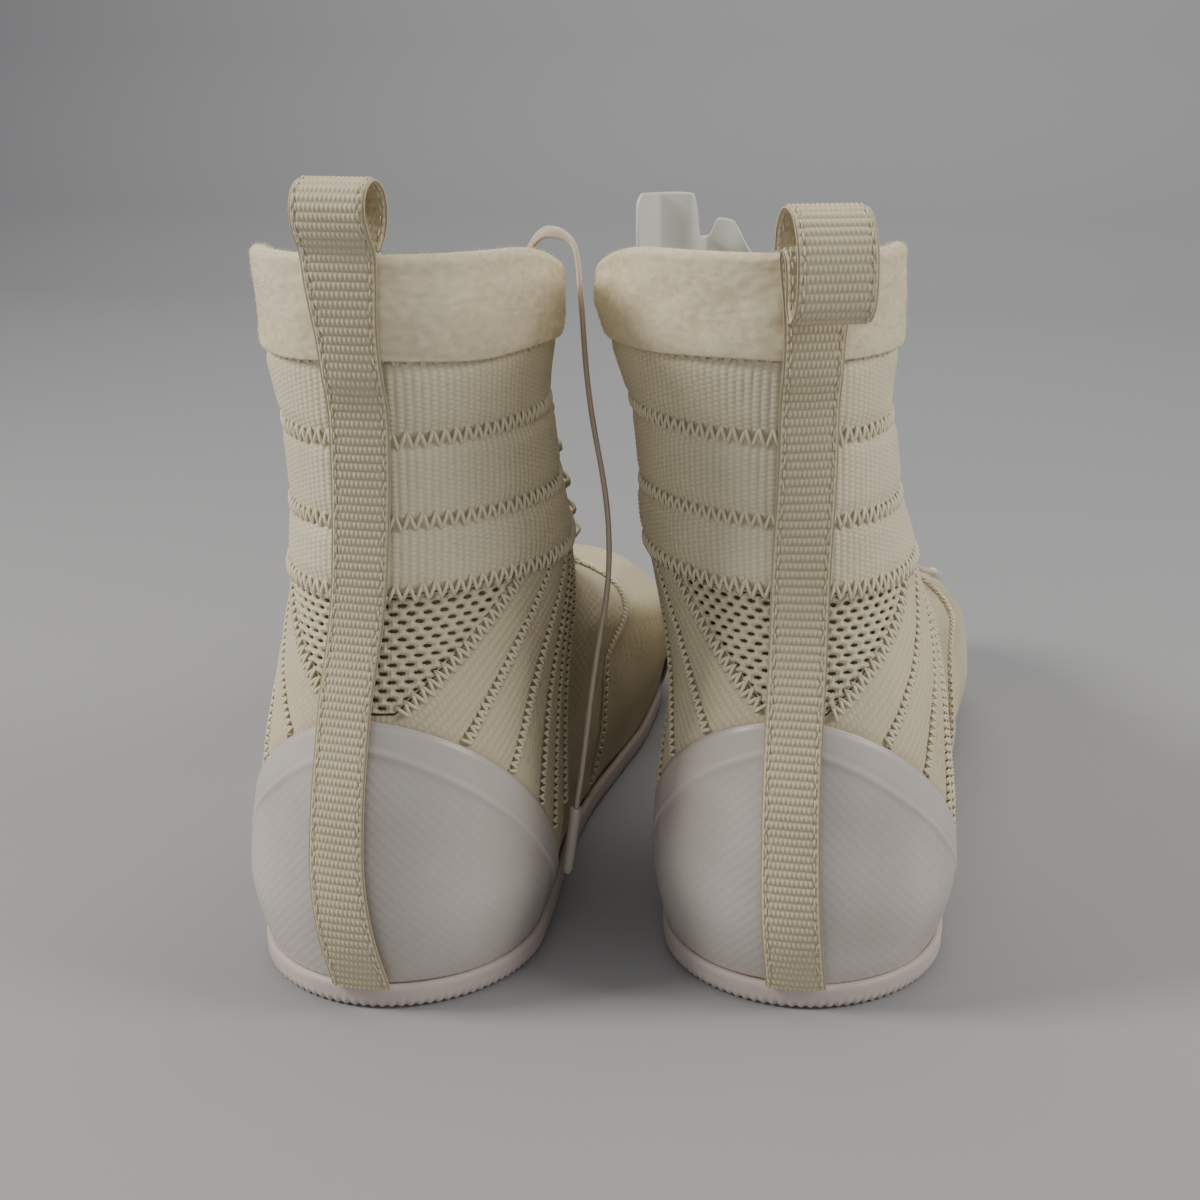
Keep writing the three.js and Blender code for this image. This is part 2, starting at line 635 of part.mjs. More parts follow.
/** One strand of the lace, from its bottom loop up: it changes side at every level. */
function strand(startSide) {
  const spots = [];
  for (let level = 0; level < LACE_LEVELS; level += 1) {
    const side = level % 2 === 0 ? startSide : -startSide;
    const z = levelHeight(level);
    const loop = place(z, side * LOOP_ACROSS, loopRise);
    const inward = place(z, 0, loopRise).at.sub(loop.at).normalize();
    const beside = (way) => ({
      at: loop.at.clone().addScaledVector(loop.up, way * LACE_TURN).addScaledVector(inward, LACE_PULL),
      out: loop.out,
    });
    spots.push(beside(-1), loop, beside(1));
    if (level + 1 < LACE_LEVELS) {
      const next = place(levelHeight(level + 1), -side * LOOP_ACROSS, loopRise);
      const halfway = loop.at.clone().add(next.at).multiplyScalar(0.5);
      spots.push(ridgeAbove(halfway, z, loopRise + (startSide > 0 ? LACE_OVER : LACE_UNDER)));
    }
  }
  return spots;
}

/** The laced part: up one strand to its top loop, and across the bottom to the other strand. */
function laceRoute() {
  const lowest = place(LACE_FIRST, LOOP_ACROSS, loopRise);
  const inside = lowest.at.clone().addScaledVector(lowest.up, -BAR_DROP);
  inside.x = centreShift(inside.y / BOOT_LENGTH);
  const bar = ridgeAbove(inside, LACE_FIRST, loopRise);
  const spots = [...strand(-1).reverse(), bar, ...strand(1)];
  const line = new THREE.CatmullRomCurve3(spots.map((spot) => spot.at), false, "centripetal");
  const ups = new THREE.CatmullRomCurve3(spots.map((spot) => spot.out), false, "centripetal");
  const steps = Math.round(1.5 * (spots.length - 1));
  const route = [];
  for (let i = 0; i <= steps; i += 1) {
    route.push({ at: line.getPoint(i / steps), up: ups.getPoint(i / steps).normalize() });
  }
  return route;
}

const BAR_DROP = 6;                   // how far below the lowest loops the lace crosses
const LACE_LEAD = 3.5;               // straight run of a free end as it leaves the top loop

/** Where a free end starts, just past one end of the laced part: its start and its direction. */
function leaving(route, side) {
  const ordered = side === -LAST_SIDE ? route.slice(0, 2) : route.slice(-2).reverse();
  const way = ordered[0].at.clone().sub(ordered[1].at).normalize();
  const start = ordered[0].at.clone().addScaledVector(way, FIT_GAP);
  return { stops: [start, start.clone().addScaledVector(way, LACE_LEAD)], out: ordered[0].up };
}

// A free end that lies down the front of the boot: [height, across from the front, rise off the skin].
const hangRise = bandLayer[1] + LAYER_GAP + LACE_THICK / 2 + 0.6;
const topLoop = levelHeight(LACE_LEVELS - 1);
const drapedStops = [
  [topLoop + 8.5, LOOP_ACROSS + 2, loopRise + 3],
  [topLoop + 5, LOOP_ACROSS + 9, hangRise + 3.8],
  [topLoop - 6, LOOP_ACROSS + 13, hangRise + 2.6],
  [topLoop - 26, LOOP_ACROSS + 15, hangRise + 0.8],
  [topLoop - 46, LOOP_ACROSS + 17, hangRise],
  [topLoop - 66, LOOP_ACROSS + 20, hangRise],
  [topLoop - 84, LOOP_ACROSS + 26, hangRise],
  [topLoop - 98, LOOP_ACROSS + 33, hangRise],
];

// The left boot's inner end hangs free beside the shaft: hand-set points, before the boot is turned.
const hangingStops = [[26, 101, 181], [30, 95, 185.5], [35.5, 92, 183], [38, 91, 170], [39.5, 90, 150],
  [41, 86, 128], [42.5, 80, 106], [45, 74, 86], [46, 70, 66], [45, 68, 46], [43, 67, 30]];

/** Smooth route of a free end through its stops, with its thickness turning from one way to another. */
function endRoute(lead, stops, outs, steps) {
  const line = new THREE.CatmullRomCurve3([...lead.stops, ...stops], false, "centripetal");
  const ways = new THREE.CatmullRomCurve3([lead.out, lead.out, ...outs], false, "centripetal");
  const route = [];
  for (let i = 0; i <= steps; i += 1) {
    route.push({ at: line.getPoint(i / steps), up: ways.getPoint(i / steps).normalize() });
  }
  return route;
}

function drapedEnd(laced, side) {
  const spots = drapedStops.map(([z, across, rise]) => place(z, side * across, rise));
  return endRoute(leaving(laced, side), spots.map((spot) => spot.at), spots.map((spot) => spot.out), 18);
}

function hangingEnd(laced) {
  const stops = hangingStops.map(([x, y, z]) => new THREE.Vector3(x, y, z));
  return endRoute(leaving(laced, 1), stops, stops.map(() => new THREE.Vector3(1, 0.2, 0)), 24);
}

/** An aglet: a round tip that carries on from the end of a route. */
function aglet(route) {
  const last = route[route.length - 1];
  const along = last.at.clone().sub(route[route.length - 2].at).normalize();
  const start = last.at.clone().addScaledVector(along, FIT_GAP);
  const end = start.clone().addScaledVector(along, AGLET_LENGTH);
  return cord([{ at: start, up: last.up }, { at: end, up: last.up }], 2 * AGLET_RADIUS, 2 * AGLET_RADIUS);
}

// ---- pull loops ------------------------------------------------------------------------------------
// Centre line of each webbing loop in side view, as [y, height above the collar], closed at its base.
const standingLoop = [[6.4, 1.2], [9.6, 5], [10.6, 10], [9, 14.6], [5.2, 16.6], [1.4, 14.8], [-0.2, 10.4],
  [1, 5], [4.2, 1.2]];
const floppedLoop = [[6.2, 1.1], [5.6, 6.6], [1.4, 10.6], [-4.4, 9.6], [-8.6, 4], [-10, -4], [-9.2, -11],
  [-6, -14], [-3, -11], [-2.3, -5], [-0.6, -0.2], [3.9, 1.1]];

function pullLoop(centreLine) {
  const line = centreLine.map(([y, rise]) => new THREE.Vector2(y, COLLAR_TOP + rise));
  const count = line.length;
  const rim = (offset) => line.map((point, i) => {
    const along = line[(i + 1) % count].clone().sub(line[(i + count - 1) % count]).normalize();
    return new THREE.Vector2(point.x + along.y * offset, point.y - along.x * offset);
  });
  const rings = [rim(WEBBING / 2), rim(-WEBBING / 2)];
  const points = [];
  [-LOOP_WIDTH / 2, LOOP_WIDTH / 2].forEach((x) => {
    rings.forEach((ring) => ring.forEach((point) => points.push(new THREE.Vector3(x, point.x, point.y))));
  });
  const faces = [];
  const quad = (a, b, c, d) => faces.push([a, b, c], [a, c, d]);
  for (let k = 0; k < count; k += 1) {
    const n = (k + 1) % count;
    quad(k, n, count + n, count + k);
    quad(2 * count + k, 3 * count + k, 3 * count + n, 2 * count + n);
    quad(count + k, count + n, 3 * count + n, 3 * count + k);
    quad(k, 2 * count + k, 2 * count + n, n);
  }
  return solid(points, faces);
}

// ---- putting the pair together ---------------------------------------------------------------------
const finish = (color, roughness) => ({ color, roughness, metalness: 0 });
const finishes = {
  rubber: finish(0xd8cec8, 0.55),
  knit: finish(0xd2cbb4, 0.9),
  mesh: finish(0xcfc7b2, 0.9),
  fleece: finish(0xe3d9bf, 1),
  webbing: finish(0xd0c8b0, 0.8),
  film: finish(0xd2ccc6, 0.4),
  lining: finish(0xd9d4c6, 0.95),
  foam: finish(0xe0dccf, 1),
  board: finish(0xb9b2a2, 0.9),
  lace: finish(0xdacdbd, 0.85),
  aglet: finish(0xe8e0d4, 0.3),
};

/** How one boot stands: which way its inner side faces, its turn, and how its soft shaft slumps. */
const boots = [
  { name: "left", inner: 1, x: 0, y: 0, turn: 3.2, lean: 2.5, twist: -1, loop: standingLoop },
  { name: "right", inner: -1, x: HEEL_SPACING, y: HEEL_STAGGER, turn: 0, lean: -22, twist: 24,
    loop: floppedLoop },
];
const SHAFT_CENTRE_Y = 60;           // the soft shaft twists about this line
const SLUMP_FROM = 62;
const INNER_BULGE = 7;               // how far the instep slumps out on the inner side
const INNER_BULGE_HEIGHT = 105;
const INNER_BULGE_REACH = 30;
const OUTER_PULL = 2.6;              // how far the outer side of the ankle is drawn in

/** Where the soft upper settles: out over the inner side of the instep, in on the outer side. */
function settled({ x, y, z }) {
  const level = Math.exp(-(((z - INNER_BULGE_HEIGHT) / INNER_BULGE_REACH) ** 2));
  const bulge = INNER_BULGE * level * smooth(-10, 30, x) * smooth(15, 70, y);
  const pull = OUTER_PULL * (1 - smooth(-38, 8, x)) * smooth(15, 75, z) * (1 - smooth(92, 192, z));
  return x + bulge + pull;
}

/** Moves a point of the straight boot to where it lies on the mirrored, slumped boot. */
function slump(boot, point) {
  const x = settled(point) * boot.inner;
  const share = smooth(SLUMP_FROM, COLLAR_TOP, point.z);
  const angle = THREE.MathUtils.degToRad(boot.twist) * share;
  const y = point.y - SHAFT_CENTRE_Y;
  const spring = Math.max(0, point.y - TOE_SPRING_START) / (BOOT_LENGTH - TOE_SPRING_START);
  return new THREE.Vector3(
    x * Math.cos(angle) - y * Math.sin(angle) + boot.lean * share,
    x * Math.sin(angle) + y * Math.cos(angle) + SHAFT_CENTRE_Y,
    point.z + TOE_SPRING * spring * spring,
  );
}

const heelPivotY = 40;
const bootPlace = (boot) => new THREE.Vector3(boot.x, boot.y + heelPivotY, 0);

/** Every vertex of a piece moved onto the slumped boot, with its faces still turned outward. */
function slumped(boot, geometry) {
  const from = geometry.attributes.position;
  const points = [];
  for (let i = 0; i < from.count; i += 1) {
    const point = new THREE.Vector3().fromBufferAttribute(from, i);
    points.push(slump(boot, point).sub(new THREE.Vector3(0, heelPivotY, 0)));
  }
  const faces = [];
  const index = geometry.index.array;
  for (let i = 0; i < index.length; i += 3) {
    faces.push(boot.inner > 0 ? [index[i], index[i + 1], index[i + 2]] : [index[i], index[i + 2],
      index[i + 1]]);
  }
  const moved = new THREE.BufferGeometry();
  moved.setAttribute("position", new THREE.Float32BufferAttribute(points.flatMap((p) => p.toArray()), 3));
  moved.setIndex(faces.flat());
  return moved;
}

const pair = new THREE.Group();
boots.forEach((boot) => {
  const group = new THREE.Group();
  group.position.copy(bootPlace(boot));
  group.rotation.z = THREE.MathUtils.degToRad(boot.turn);
  const add = (name, geometry, material) => {
    const mesh = new THREE.Mesh(slumped(boot, geometry), new THREE.MeshStandardMaterial(finishes[material]));
    mesh.name = `${boot.name}_${name}`;
    group.add(mesh);
  };
  add("outsole", outsole(), "rubber");
  add("insole_board", insoleBoard(), "board");
  add("sockliner", sockliner(), "foam");
  add("lining", lining(), "lining");
  add("vamp", vamp(), "knit");
  add("toe_cap", toeCap(), "film");
  [1, -1].forEach((side) => {
    add(`${sideName[side]}_quarter`, quarter(side), "knit");
    add(`${sideName[side]}_gusset`, gusset(side), "mesh");
    add(`${sideName[side]}_eyestay`, eyestay(side), "knit");
    add(`${sideName[side]}_lace_loops`, laceLoops(side), "webbing");
  });
  add("shaft", shaft(), "knit");
  ["lower", "middle", "upper"].forEach((level, i) => add(`${level}_ankle_band`, ankleBand(i), "webbing"));
  add("collar", collar(), "fleece");
  add("collar_foam", collarFoam(), "foam");
  add("heel_counter", counter(), "film");
  add("heel_stiffener", stiffener(), "board");
  add("heel_strap", heelStrap(), "webbing");
  add("pull_loop", pullLoop(boot.loop), "webbing");
  add("tongue", tongue(), "knit");
  const laced = laceRoute();
  add("lace", cord(laced, LACE_WIDE, LACE_THICK), "lace");
  const ends = [["lateral", drapedEnd(laced, -1)],
    ["medial", boot.name === "left" ? hangingEnd(laced) : drapedEnd(laced, 1)]];
  ends.forEach(([name, route]) => {
    add(`${name}_lace_end`, cord(route, LACE_WIDE, LACE_THICK), "lace");
    add(`${name}_aglet`, aglet(route), "aglet");
  });
  pair.add(group);
});

// The frame's origin is the middle of the bottom of the pair's box.
pair.updateMatrixWorld(true);
const box = new THREE.Box3().setFromObject(pair);
const middle = box.getCenter(new THREE.Vector3());
pair.position.set(-middle.x, -middle.y, -box.min.z);
pair.updateMatrixWorld(true);

export default pair;
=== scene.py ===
"""Pair of lace-up boxing boots: knit uppers, elastic ankle bands, fleece collars and heel webbing."""
import math

import bpy
import numpy as np
from bpy.props import FloatProperty, PointerProperty
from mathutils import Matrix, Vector


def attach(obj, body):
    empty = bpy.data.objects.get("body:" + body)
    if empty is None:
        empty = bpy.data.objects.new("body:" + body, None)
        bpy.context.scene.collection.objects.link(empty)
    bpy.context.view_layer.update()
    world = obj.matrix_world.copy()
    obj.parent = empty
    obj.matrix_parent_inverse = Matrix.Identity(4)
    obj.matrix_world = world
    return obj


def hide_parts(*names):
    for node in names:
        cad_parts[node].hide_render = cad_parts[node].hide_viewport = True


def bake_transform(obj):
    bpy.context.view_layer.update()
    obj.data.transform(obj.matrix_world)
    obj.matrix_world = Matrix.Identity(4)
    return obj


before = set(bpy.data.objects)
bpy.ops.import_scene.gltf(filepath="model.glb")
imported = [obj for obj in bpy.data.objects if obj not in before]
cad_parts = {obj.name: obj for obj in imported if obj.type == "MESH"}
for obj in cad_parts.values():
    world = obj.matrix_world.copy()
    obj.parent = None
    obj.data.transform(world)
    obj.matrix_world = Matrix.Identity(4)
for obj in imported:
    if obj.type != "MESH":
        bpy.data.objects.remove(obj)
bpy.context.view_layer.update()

bl_info = {
    "name": "Boxing Boots",
    "version": (1, 0, 0),
    "blender": (4, 5, 0),
    "location": "View3D > Sidebar > Boots",
    "description": "Builds the cloth, webbing, rubber and laces of a pair of boxing boots",
    "category": "Object",
}


# ---- sizes in millimetres, the same as the part's ------------------------------------------------
BOOT_LENGTH = 290.0
COLLAR_TOP = 187.0
COLLAR_DIP = 14.0
PAIR_MIDDLE = (45.971, 154.401)
RIM_TOP = 6.2
SOLE_FLOOR = 3.0
SKIN_BOTTOM = 3.4
SKIN_THICKNESS = 1.2
OVERLAY_BOTTOM = 6.8
STRAP_WIDTH = 15.0
LOOP_WIDTH = 19.0
OPENING_HALF = 13.0
EYESTAY_WIDTH = 12.0
THROAT = 78.0
COUNTER_TOP = 75.0
COUNTER_REACH = 82.0
COUNTER_END = 14.0
GUSSET_BOTTOM = 76.5
GUSSET_REACH = 42.0
HEM = 105.5
BAND_EDGES = (106.0, 123.2, 144.0, 163.6)
COLLAR_SEAM = 164.0
STAY_EDGE = OPENING_HALF + EYESTAY_WIDTH + 1
FAN_LOWEST = 30.0
VAMP_SEAM_START = 128.0
VAMP_SEAM_SLOPE = 0.33
VAMP_SEAM_TURN = 47.0
LACE_LEVELS = 7
LACE_FIRST = 86.0
LACE_LAST = 160.0
LOOP_ACROSS = 17.0
AGLET_LENGTH = 20.0
INNER_BULGE = 7.0
BULGE_HEIGHT = 105.0
BULGE_REACH = 30.0
OUTER_PULL = 2.6
LEAN_START = 62.0
TWIST_AXIS = 60.0
SPRING_START = 195.0
TOE_SPRING = 9.0
BOOTS = {
    "left": dict(inner=1, x=0.0, y=0.0, turn=3.2, lean=2.5, twist=-1.0),
    "right": dict(inner=-1, x=105.8, y=21.0, turn=0.0, lean=-22.0, twist=24.0),
}
MM = 0.001
CAMERA_PLACE = (0.0910, -0.5213, 0.221)


# ---- curves ---------------------------------------------------------------------------------------
def through(stations):
    """A smooth curve through stations (at, value) that never overshoots them, for whole arrays."""
    at, value = np.array(stations, float).T
    slope = np.diff(value) / np.diff(at)
    tangent = np.zeros(len(at))
    tangent[0], tangent[-1] = slope[0], slope[-1]
    for i in range(1, len(at) - 1):
        if slope[i - 1] * slope[i] > 0:
            tangent[i] = 2 / (1 / slope[i - 1] + 1 / slope[i])

    def curve(x):
        x = np.clip(np.asarray(x, float), at[0], at[-1])
        i = np.clip(np.searchsorted(at, x, side="right") - 1, 0, len(at) - 2)
        h = at[i + 1] - at[i]
        t = (x - at[i]) / h
        return ((1 + 2 * t) * (1 - t) ** 2 * value[i] + t * (1 - t) ** 2 * h * tangent[i]
                + t * t * (3 - 2 * t) * value[i + 1] + t * t * (t - 1) * h * tangent[i + 1])
    return curve


def smooth(low, high, x):
    """Eases from 0 to 1 between low and high."""
    t = np.clip((np.asarray(x, float) - low) / (high - low), 0, 1)
    return t * t * (3 - 2 * t)


heel_line = through([(0, 5), (12, 2), (28, 0), (50, 2), (75, 8), (100, 13), (120, 14), (145, 12.5),
                     (170, 10), (187, 9), (215, 7)])
front_share = through([(0, .975), (8, .992), (24, 1), (38, .982), (46, .945), (53, .88), (60, .79),
                       (68, .69), (78, .59), (90, .51), (105, .452), (120, .422), (140, .403),
                       (165, .394), (187, .39), (215, .4)])
half_width = through([(0, 33.4), (12, 37.2), (28, 39.7), (50, 38.5), (75, 36), (100, 33), (125, 31),
                      (145, 31.5), (165, 34.5), (187, 36.5), (215, 38)])
width_share = through([(0, 1), (.2, 1), (.34, .97), (.45, .99), (.58, 1.09), (.7, 1.18), (.83, 1.19),
                       (1, 1.1)])
centre_shift = through([(0, 0), (.35, 0), (.6, 2.5), (.8, 4.5), (1, 8)])
heel_round = through([(0, 40), (60, 42), (110, 48), (215, 50)])
front_round = through([(0, 60), (40, 66), (52, 84), (62, 92), (78, 84), (92, 74), (108, 66), (125, 60),
                       (145, 56), (215, 54)])


def rounded(distance, reach):
    """An outline's end: 0 at its tip, easing round to 1 at reach from it."""
    t = np.clip(1 - np.maximum(distance, 0) / reach, 0, 1)
    return np.sqrt(1 - t * t)


def outline(z, side, count=181):
    """Half of the outline at one height, as x, y and distance round from the heel."""
    heel, front = float(heel_line(z)), float(BOOT_LENGTH * front_share(z))
    y = heel + (front - heel) * (1 - np.cos(np.linspace(0, np.pi, count))) / 2
    along = y / BOOT_LENGTH
    half = (half_width(z) * width_share(along) * rounded(y - heel, heel_round(z))
            * rounded(front - y, front_round(z)))
    x = side * half + centre_shift(along)
    reach = np.concatenate([[0], np.cumsum(np.hypot(np.diff(x), np.diff(y)))])
    return x, y, reach


class Skin:
    """The upper's outer face as a table of points and normals over height and share round."""

    def __init__(self):
        self.heights = np.arange(-3, 214.1, 0.5)
        self.count = 500
        shares = np.linspace(0, 1, self.count + 1)
        points, self.halves = [], {1: [], -1: []}
        for z in self.heights:
            rows = {}
            for side in (1, -1):
                x, y, reach = outline(z, side)
                self.halves[side].append(reach[-1])
                rows[side] = np.stack([np.interp(shares, reach / reach[-1], x),
                                       np.interp(shares, reach / reach[-1], y),
                                       np.full(self.count + 1, z)], axis=1)
            points.append(np.concatenate([rows[-1][:0:-1], rows[1]]))
        self.points = np.array(points)
        loop = np.concatenate([self.points[:, -2:-1], self.points, self.points[:, 1:2]], axis=1)
        around = loop[:, 2:] - loop[:, :-2]
        upward = np.gradient(self.points, axis=0)
        normal = np.cross(around, upward)
        self.normals = normal / np.linalg.norm(normal, axis=2, keepdims=True)
        self.halves = {side: np.array(v) for side, v in self.halves.items()}

    def half(self, z, round_):
        """Distance from the heel to the front on the side that round_ is on."""
        inner = np.interp(z, self.heights, self.halves[1])
        outer = np.interp(z, self.heights, self.halves[-1])
        return np.where(np.asarray(round_) < 0, outer, inner)

    def sample(self, table, z, round_):
        """A table's value at a height and a distance round, eased between its entries."""
        z, round_ = np.broadcast_arrays(np.asarray(z, float), np.asarray(round_, float))
        share = np.clip(round_ / self.half(z, round_), -1, 1)
        row = np.clip((z - self.heights[0]) / 0.5, 0, len(self.heights) - 1.001)
        column = np.clip((share + 1) * self.count, 0, 2 * self.count - 0.001)
        i, j = row.astype(int), column.astype(int)
        a, b = (row - i)[..., None], (column - j)[..., None]
        return ((table[i, j] * (1 - b) + table[i, j + 1] * b) * (1 - a)
                + (table[i + 1, j] * (1 - b) + table[i + 1, j + 1] * b) * a)

    def at(self, z, round_, off=0.0):
        """Points at a height, a signed distance round from the heel and a distance off the skin."""
        normal = self.sample(self.normals, z, round_)
        normal = normal / np.linalg.norm(normal, axis=-1, keepdims=True)
        return self.sample(self.points, z, round_) + normal * np.asarray(off, float)[..., None]

    def from_front(self, z, across):
        """Signed distance round from the heel of a place that is across from the front's middle line."""
        across = np.asarray(across, float)
        side = np.where(across < 0, -1, 1)
        return side * (self.half(z, side) - np.abs(across))


skin = Skin()


def collar_top(share):
    """Height of the collar's edge, which dips towards the front."""
    return COLLAR_TOP - COLLAR_DIP * smooth(0.35, 1, share)


def stand(boot, points):
    """Moves points of the straight boot to where they lie on the standing, slumped boot, in metres."""
    place = BOOTS[boot]
    p = np.array(points, float)
    x, y, z = p[..., 0], p[..., 1] - TWIST_AXIS, p[..., 2]
    bulge = (INNER_BULGE * np.exp(-((z - BULGE_HEIGHT) / BULGE_REACH) ** 2) * smooth(-10, 30, x)
             * smooth(15, 70, p[..., 1]))
    pull = OUTER_PULL * (1 - smooth(-38, 8, x)) * smooth(15, 75, z) * (1 - smooth(92, 192, z))
    x = (x + bulge + pull) * place["inner"]
    share = smooth(LEAN_START, COLLAR_TOP, z)
    angle = np.radians(place["twist"]) * share
    spring = np.maximum(0, p[..., 1] - SPRING_START) / (BOOT_LENGTH - SPRING_START)
    q = np.stack([x * np.cos(angle) - y * np.sin(angle) + place["lean"] * share,
                  x * np.sin(angle) + y * np.cos(angle) + 20, z + TOE_SPRING * spring ** 2], axis=-1)
    turn = math.radians(place["turn"])
    r = np.stack([q[..., 0] * math.cos(turn) - q[..., 1] * math.sin(turn) + place["x"] - PAIR_MIDDLE[0],
                  q[..., 0] * math.sin(turn) + q[..., 1] * math.cos(turn) + place["y"] + 40
                  - PAIR_MIDDLE[1], q[..., 2]], axis=-1)
    return r * MM


# ---- meshes ---------------------------------------------------------------------------------------
def new_object(name, points, faces, uvs=None, relief=None, smooth_shading=True):
    """A mesh object from arrays of points and faces, its faces turned outward."""
    points = np.asarray(points, float)
    volume = 0.0
    for size in {len(f) for f in faces} if isinstance(faces, list) else {faces.shape[1]}:
        group = np.array([f for f in faces if len(f) == size]) if isinstance(faces, list) else faces
        for k in range(1, size - 1):
            a, b, c = points[group[:, 0]], points[group[:, k]], points[group[:, k + 1]]
            volume += np.einsum("ij,ij->i", a - points[0], np.cross(b - points[0], c - points[0])).sum()
    if isinstance(faces, np.ndarray):
        faces = faces[:, ::-1] if volume < 0 else faces
        mesh = bpy.data.meshes.new(name)
        mesh.vertices.add(len(points))
        mesh.vertices.foreach_set("co", points.ravel())
        mesh.loops.add(faces.size)
        mesh.loops.foreach_set("vertex_index", np.ascontiguousarray(faces).ravel())
        mesh.polygons.add(len(faces))
        mesh.polygons.foreach_set("loop_start", np.arange(0, faces.size, faces.shape[1]))
        mesh.update(calc_edges=True)
    else:
        faces = [tuple(f)[::-1] if volume < 0 else tuple(f) for f in faces]
        mesh = bpy.data.meshes.new(name)
        mesh.from_pydata([tuple(p) for p in points], [], faces)
        mesh.update()
    mesh.polygons.foreach_set("use_smooth", np.full(len(mesh.polygons), smooth_shading))
    if uvs is not None:
        layer = mesh.uv_layers.new(name="UVMap")
        index = np.empty(len(mesh.loops), np.int32)
        mesh.loops.foreach_get("vertex_index", index)
        layer.data.foreach_set("uv", np.asarray(uvs, float)[index].ravel())
    # The relief attribute becomes painted shade in the finishes: the colour darkens where it is low.
    values = np.zeros(len(points)) if relief is None else np.asarray(relief, float)
    mesh.attributes.new("relief", "FLOAT", "POINT").data.foreach_set("value", values.astype(np.float32))
    obj = bpy.data.objects.new(name, mesh)
    bpy.context.scene.collection.objects.link(obj)
    return obj


def slab(name, outer, inner, uv, relief=None, keep=None, closed=False):
    """A closed sheet between two grids of points. keep marks the cells that aren't holes."""
    rows, columns = outer.shape[:2]
    size = rows * columns
    index = np.arange(size).reshape(rows, columns)
    wrap = np.concatenate([index, index[:, :1]], axis=1) if closed else index
    cells = np.stack([wrap[:-1, :-1], wrap[:-1, 1:], wrap[1:, 1:], wrap[1:, :-1]], axis=-1)
    kept = np.ones(cells.shape[:2], bool) if keep is None else keep
    faces = [cells[kept], cells[kept][:, ::-1] + size]
    padded = np.zeros((kept.shape[0] + 2, kept.shape[1] + 2), bool)
    padded[1:-1, 1:-1] = kept
    if closed:
        padded[1:-1, 0], padded[1:-1, -1] = kept[:, -1], kept[:, 0]
    for (di, dj), (p, q) in {(-1, 0): (0, 1), (0, 1): (1, 2), (1, 0): (2, 3), (0, -1): (3, 0)}.items():
        edge = kept & ~padded[1 + di:1 + di + kept.shape[0], 1 + dj:1 + dj + kept.shape[1]]
        a, b = cells[edge][:, p], cells[edge][:, q]
        faces.append(np.stack([b, a, a + size, b + size], axis=1))
    points = np.concatenate([outer.reshape(-1, 3), inner.reshape(-1, 3)])
    faces = np.concatenate(faces)
    relief = np.zeros((rows, columns)) if relief is None else np.broadcast_to(relief, (rows, columns))
    values = np.concatenate([relief.ravel(), np.zeros(size)])
    both = np.concatenate([uv.reshape(-1, 2)] * 2)
    if keep is not None:
        used, faces = np.unique(faces, return_inverse=True)
        faces = faces.reshape(-1, 4)
        points, values, both = points[used], values[used], both[used]
    return new_object(name, points, faces, both, values)


def panel(boot, name, z, around, outer, inner, relief=0.0, keep=None, painted_shade=None):
    """A slab of the upper: heights and distances round as grids, in millimetres. Its last argument, when
    given, is painted shade: it darkens the colour in place of the relief.
    """
    z, around = np.broadcast_arrays(np.asarray(z, float), np.asarray(around, float))
    relief = np.broadcast_to(np.asarray(relief, float), z.shape)
    top = stand(boot, skin.at(z, around, np.broadcast_to(outer, z.shape) + relief))
    bottom = stand(boot, skin.at(z, around, np.broadcast_to(inner, z.shape)))
    uv = np.stack([around, z], axis=-1) / 10
    return slab(f"{boot}_{name}", top, bottom, uv, relief if painted_shade is None else painted_shade, keep)


def tubes(name, routes, radius, sides=6, flat=1.0):
    """Threads: a closed tube along each route. A route is its points and others just outward of them."""
    points, faces, uvs = [], [], []
    start = 0
    for route, outward in routes:
        count = len(route)
        tangent = np.gradient(route, axis=0)
        tangent /= np.linalg.norm(tangent, axis=1, keepdims=True) + 1e-12
        across = np.cross(tangent, outward - route)
        across /= np.linalg.norm(across, axis=1, keepdims=True) + 1e-12
        out = np.cross(across, tangent)
        angle = 2 * np.pi * (np.arange(sides) + 0.5) / sides
        ring = (np.cos(angle)[None, :, None] * across[:, None] * radius
                + np.sin(angle)[None, :, None] * out[:, None] * radius * flat)
        points.append((route[:, None] + ring).reshape(-1, 3))
        length = np.concatenate([[0], np.cumsum(np.linalg.norm(np.diff(route, axis=0), axis=1))])
        uvs.append(np.stack([np.repeat(length * 100, sides), np.tile(angle, count)], axis=1))
        index = start + np.arange(count * sides).reshape(count, sides)
        nxt = np.roll(index, -1, axis=1)
        faces += list(np.stack([index[:-1], nxt[:-1], nxt[1:], index[1:]], axis=-1).reshape(-1, 4))
        faces += [tuple(index[0][::-1]), tuple(index[-1])]
        start += count * sides
    return new_object(name, np.concatenate(points), faces, np.concatenate(uvs))


# ---- seams and weaves ---------------------------------------------------------------------------
def counter_top(around):
    """Height of the heel counter's arched top edge."""
    share = np.clip(np.abs(around) / COUNTER_REACH, 0, 1)
    return COUNTER_TOP - (COUNTER_TOP - COUNTER_END) * share ** 1.7


def quarter_top(around):
    """Height of the quarters' top edge, which drops to a point under the gussets."""
    share = (np.abs(around) - STRAP_WIDTH / 2) / (GUSSET_REACH - STRAP_WIDTH / 2)
    return GUSSET_BOTTOM + (HEM - GUSSET_BOTTOM) * np.clip(share, 0, 1)


# Each fan seam runs from a distance round at the counter's top edge to one at the hem.
FAN_SEAMS = [(9, 45), (26, 58), (42, 70), (57, 82), (72, 95), (90, 110)]


def fan_line(seam, t):
    """Distance round and height of a fan seam at a share of the way up it."""
    low, high = seam
    crown = float(counter_top(low)) if low < COUNTER_REACH else 0.0
    bottom = GUSSET_BOTTOM if seam is FAN_SEAMS[0] else max(crown, FAN_LOWEST) + 1
    return low + (high - low) * t, bottom + (HEM - bottom) * t


